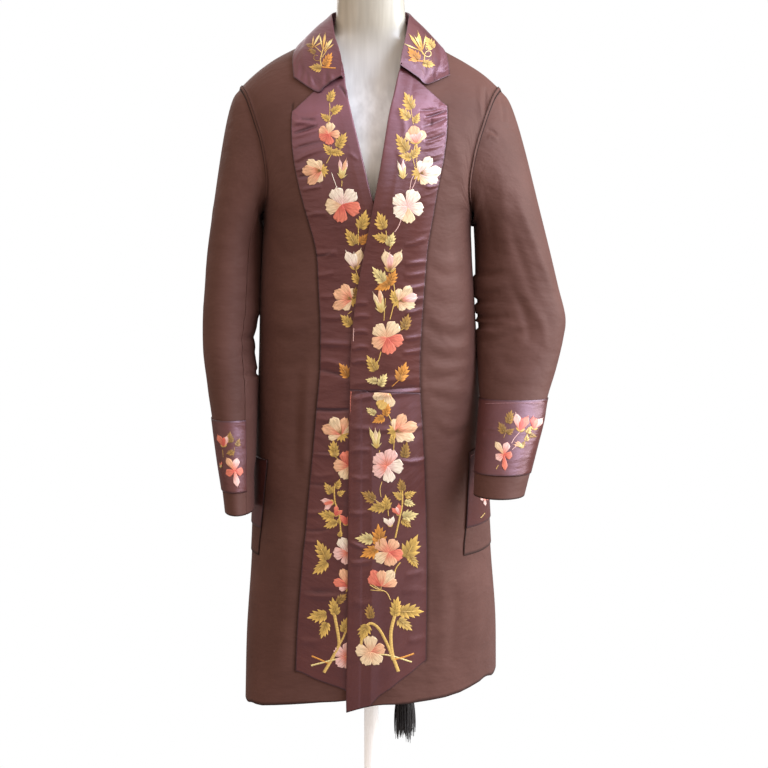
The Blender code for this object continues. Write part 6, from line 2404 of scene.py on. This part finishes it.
MOTIFS["cuff", LEFT] = """stalk 1 p  519.8 432  514.5 438  511.4 443.5
stalk 1 p  516 446  512.4 449.6
stalk 1 v  526 430.5  519.5 432.6
stalk 1 v  505.6 432.5  503.6 438
stalk 1 y  498.4 465  496.2 469
stalk 0.7 m  485.5 403.6  514 403.2  544 403.2
leaf 510 416.7 21 75 v
leaf 501.6 427.5 19 118 v
leaf 510.4 431.2 15 30 v
leaf 528.8 430.2 14 62 y
leaf 526.6 438 12 85 y
leaf 532.6 435.6 13 -20 v
leaf 523.5 443.6 10 60 v
cup 521.2 422.6 29 82 rdp
cup 535.6 423 23 72 prd
bud 519.4 445 17 150 eee
drop 503.8 455.2 45 96 cpprr"""
MOTIFS["pocket", LEFT] = """stalk 1 y  485 513  480.6 518
stalk 0.7 m  463.5 461.5  470 456.5  477 452.5
drop 484.4 498 23 95 rrprp"""
print("motifs:", sum(len(rows.splitlines()) for rows in MOTIFS.values()))

# %% Silk thread
# The patch's own colour, fine threads along it as bump, and a soft gloss
embroidery_silk, tree, shader = new_material("embroidery_silk", Roughness=0.45, Sheen_Weight=0.15)
strands = noise_node(tree, uv_node(tree), 500.0, 2.0, (0.20, 1.3, 1.0))
shade = ramp_node(tree, strands, (0.34, (0.58, 0.54, 0.50)), (0.60, WHITE))
fill(tree, shader, Base_Color=multiplied(tree, attribute_node(tree, "thread", "Color"), shade, 0.8),
     Normal=bump_node(tree, strands, 0.6, 0.0004))


print("thread:", embroidery_silk.name)

# %% Embroider
def work(ground, line):
    """Lay the motif that a line of a table names."""
    kind, *rest = line.split()
    if kind == "stalk":
        stalk(ground, float(rest[0]), rest[1], np.array(rest[2:], float).reshape(-1, 2))
    elif kind == "leaf":
        leaf(ground, *map(float, rest[:4]), rest[4])
    else:
        flower(ground, kind, *map(float, rest[:4]), rest[4])


def patch_faces(grid):
    """Faces of a patch, turned so that they face the camera."""
    faces = grid_faces(*grid.shape[:2])
    row, col = grid.shape[0] // 2, grid.shape[1] // 2
    across = np.cross(grid[row, col + 1] - grid[row, col], grid[row + 1, col] - grid[row, col])
    return faces[:, ::-1] if np.dot(across, CAMERA - grid[row, col]) < 0 else faces


grounds = {key: Ground(grid, FRONT_OUT) for key, grid in satins.items()}
grounds.update({("cuff", side): Ground(cuffs[side], np.array([float(side), 0.0, 0.0])) for side in SIDES})
grounds["collar", LEFT] = Ground(collar, COLLAR_OUT)
for (piece, side), text in MOTIFS.items():
    ground = grounds[piece, side]
    for line in text.splitlines():
        work(ground, line)
    grids, colours, threads = zip(*ground.patches)
    starts = np.cumsum([0] + [grid[..., 0].size for grid in grids])
    name = "embroidery_" + (piece if piece == "collar" else f"{piece}_{word(side)}")
    mesh = mesh_from(name, np.concatenate([grid.reshape(-1, 3) for grid in grids]),
                     np.concatenate([patch_faces(grid) + start for grid, start in zip(grids, starts)]),
                     np.concatenate([thread.reshape(-1, 2) for thread in threads]),
                     np.concatenate([np.insert(colour.reshape(-1, 3), 3, 1, axis=1) for colour in colours]))
    place_piece(name, mesh, embroidery_silk)
    print(name, "patches:", len(grids), "faces:", len(mesh.polygons))

# %% [markdown]
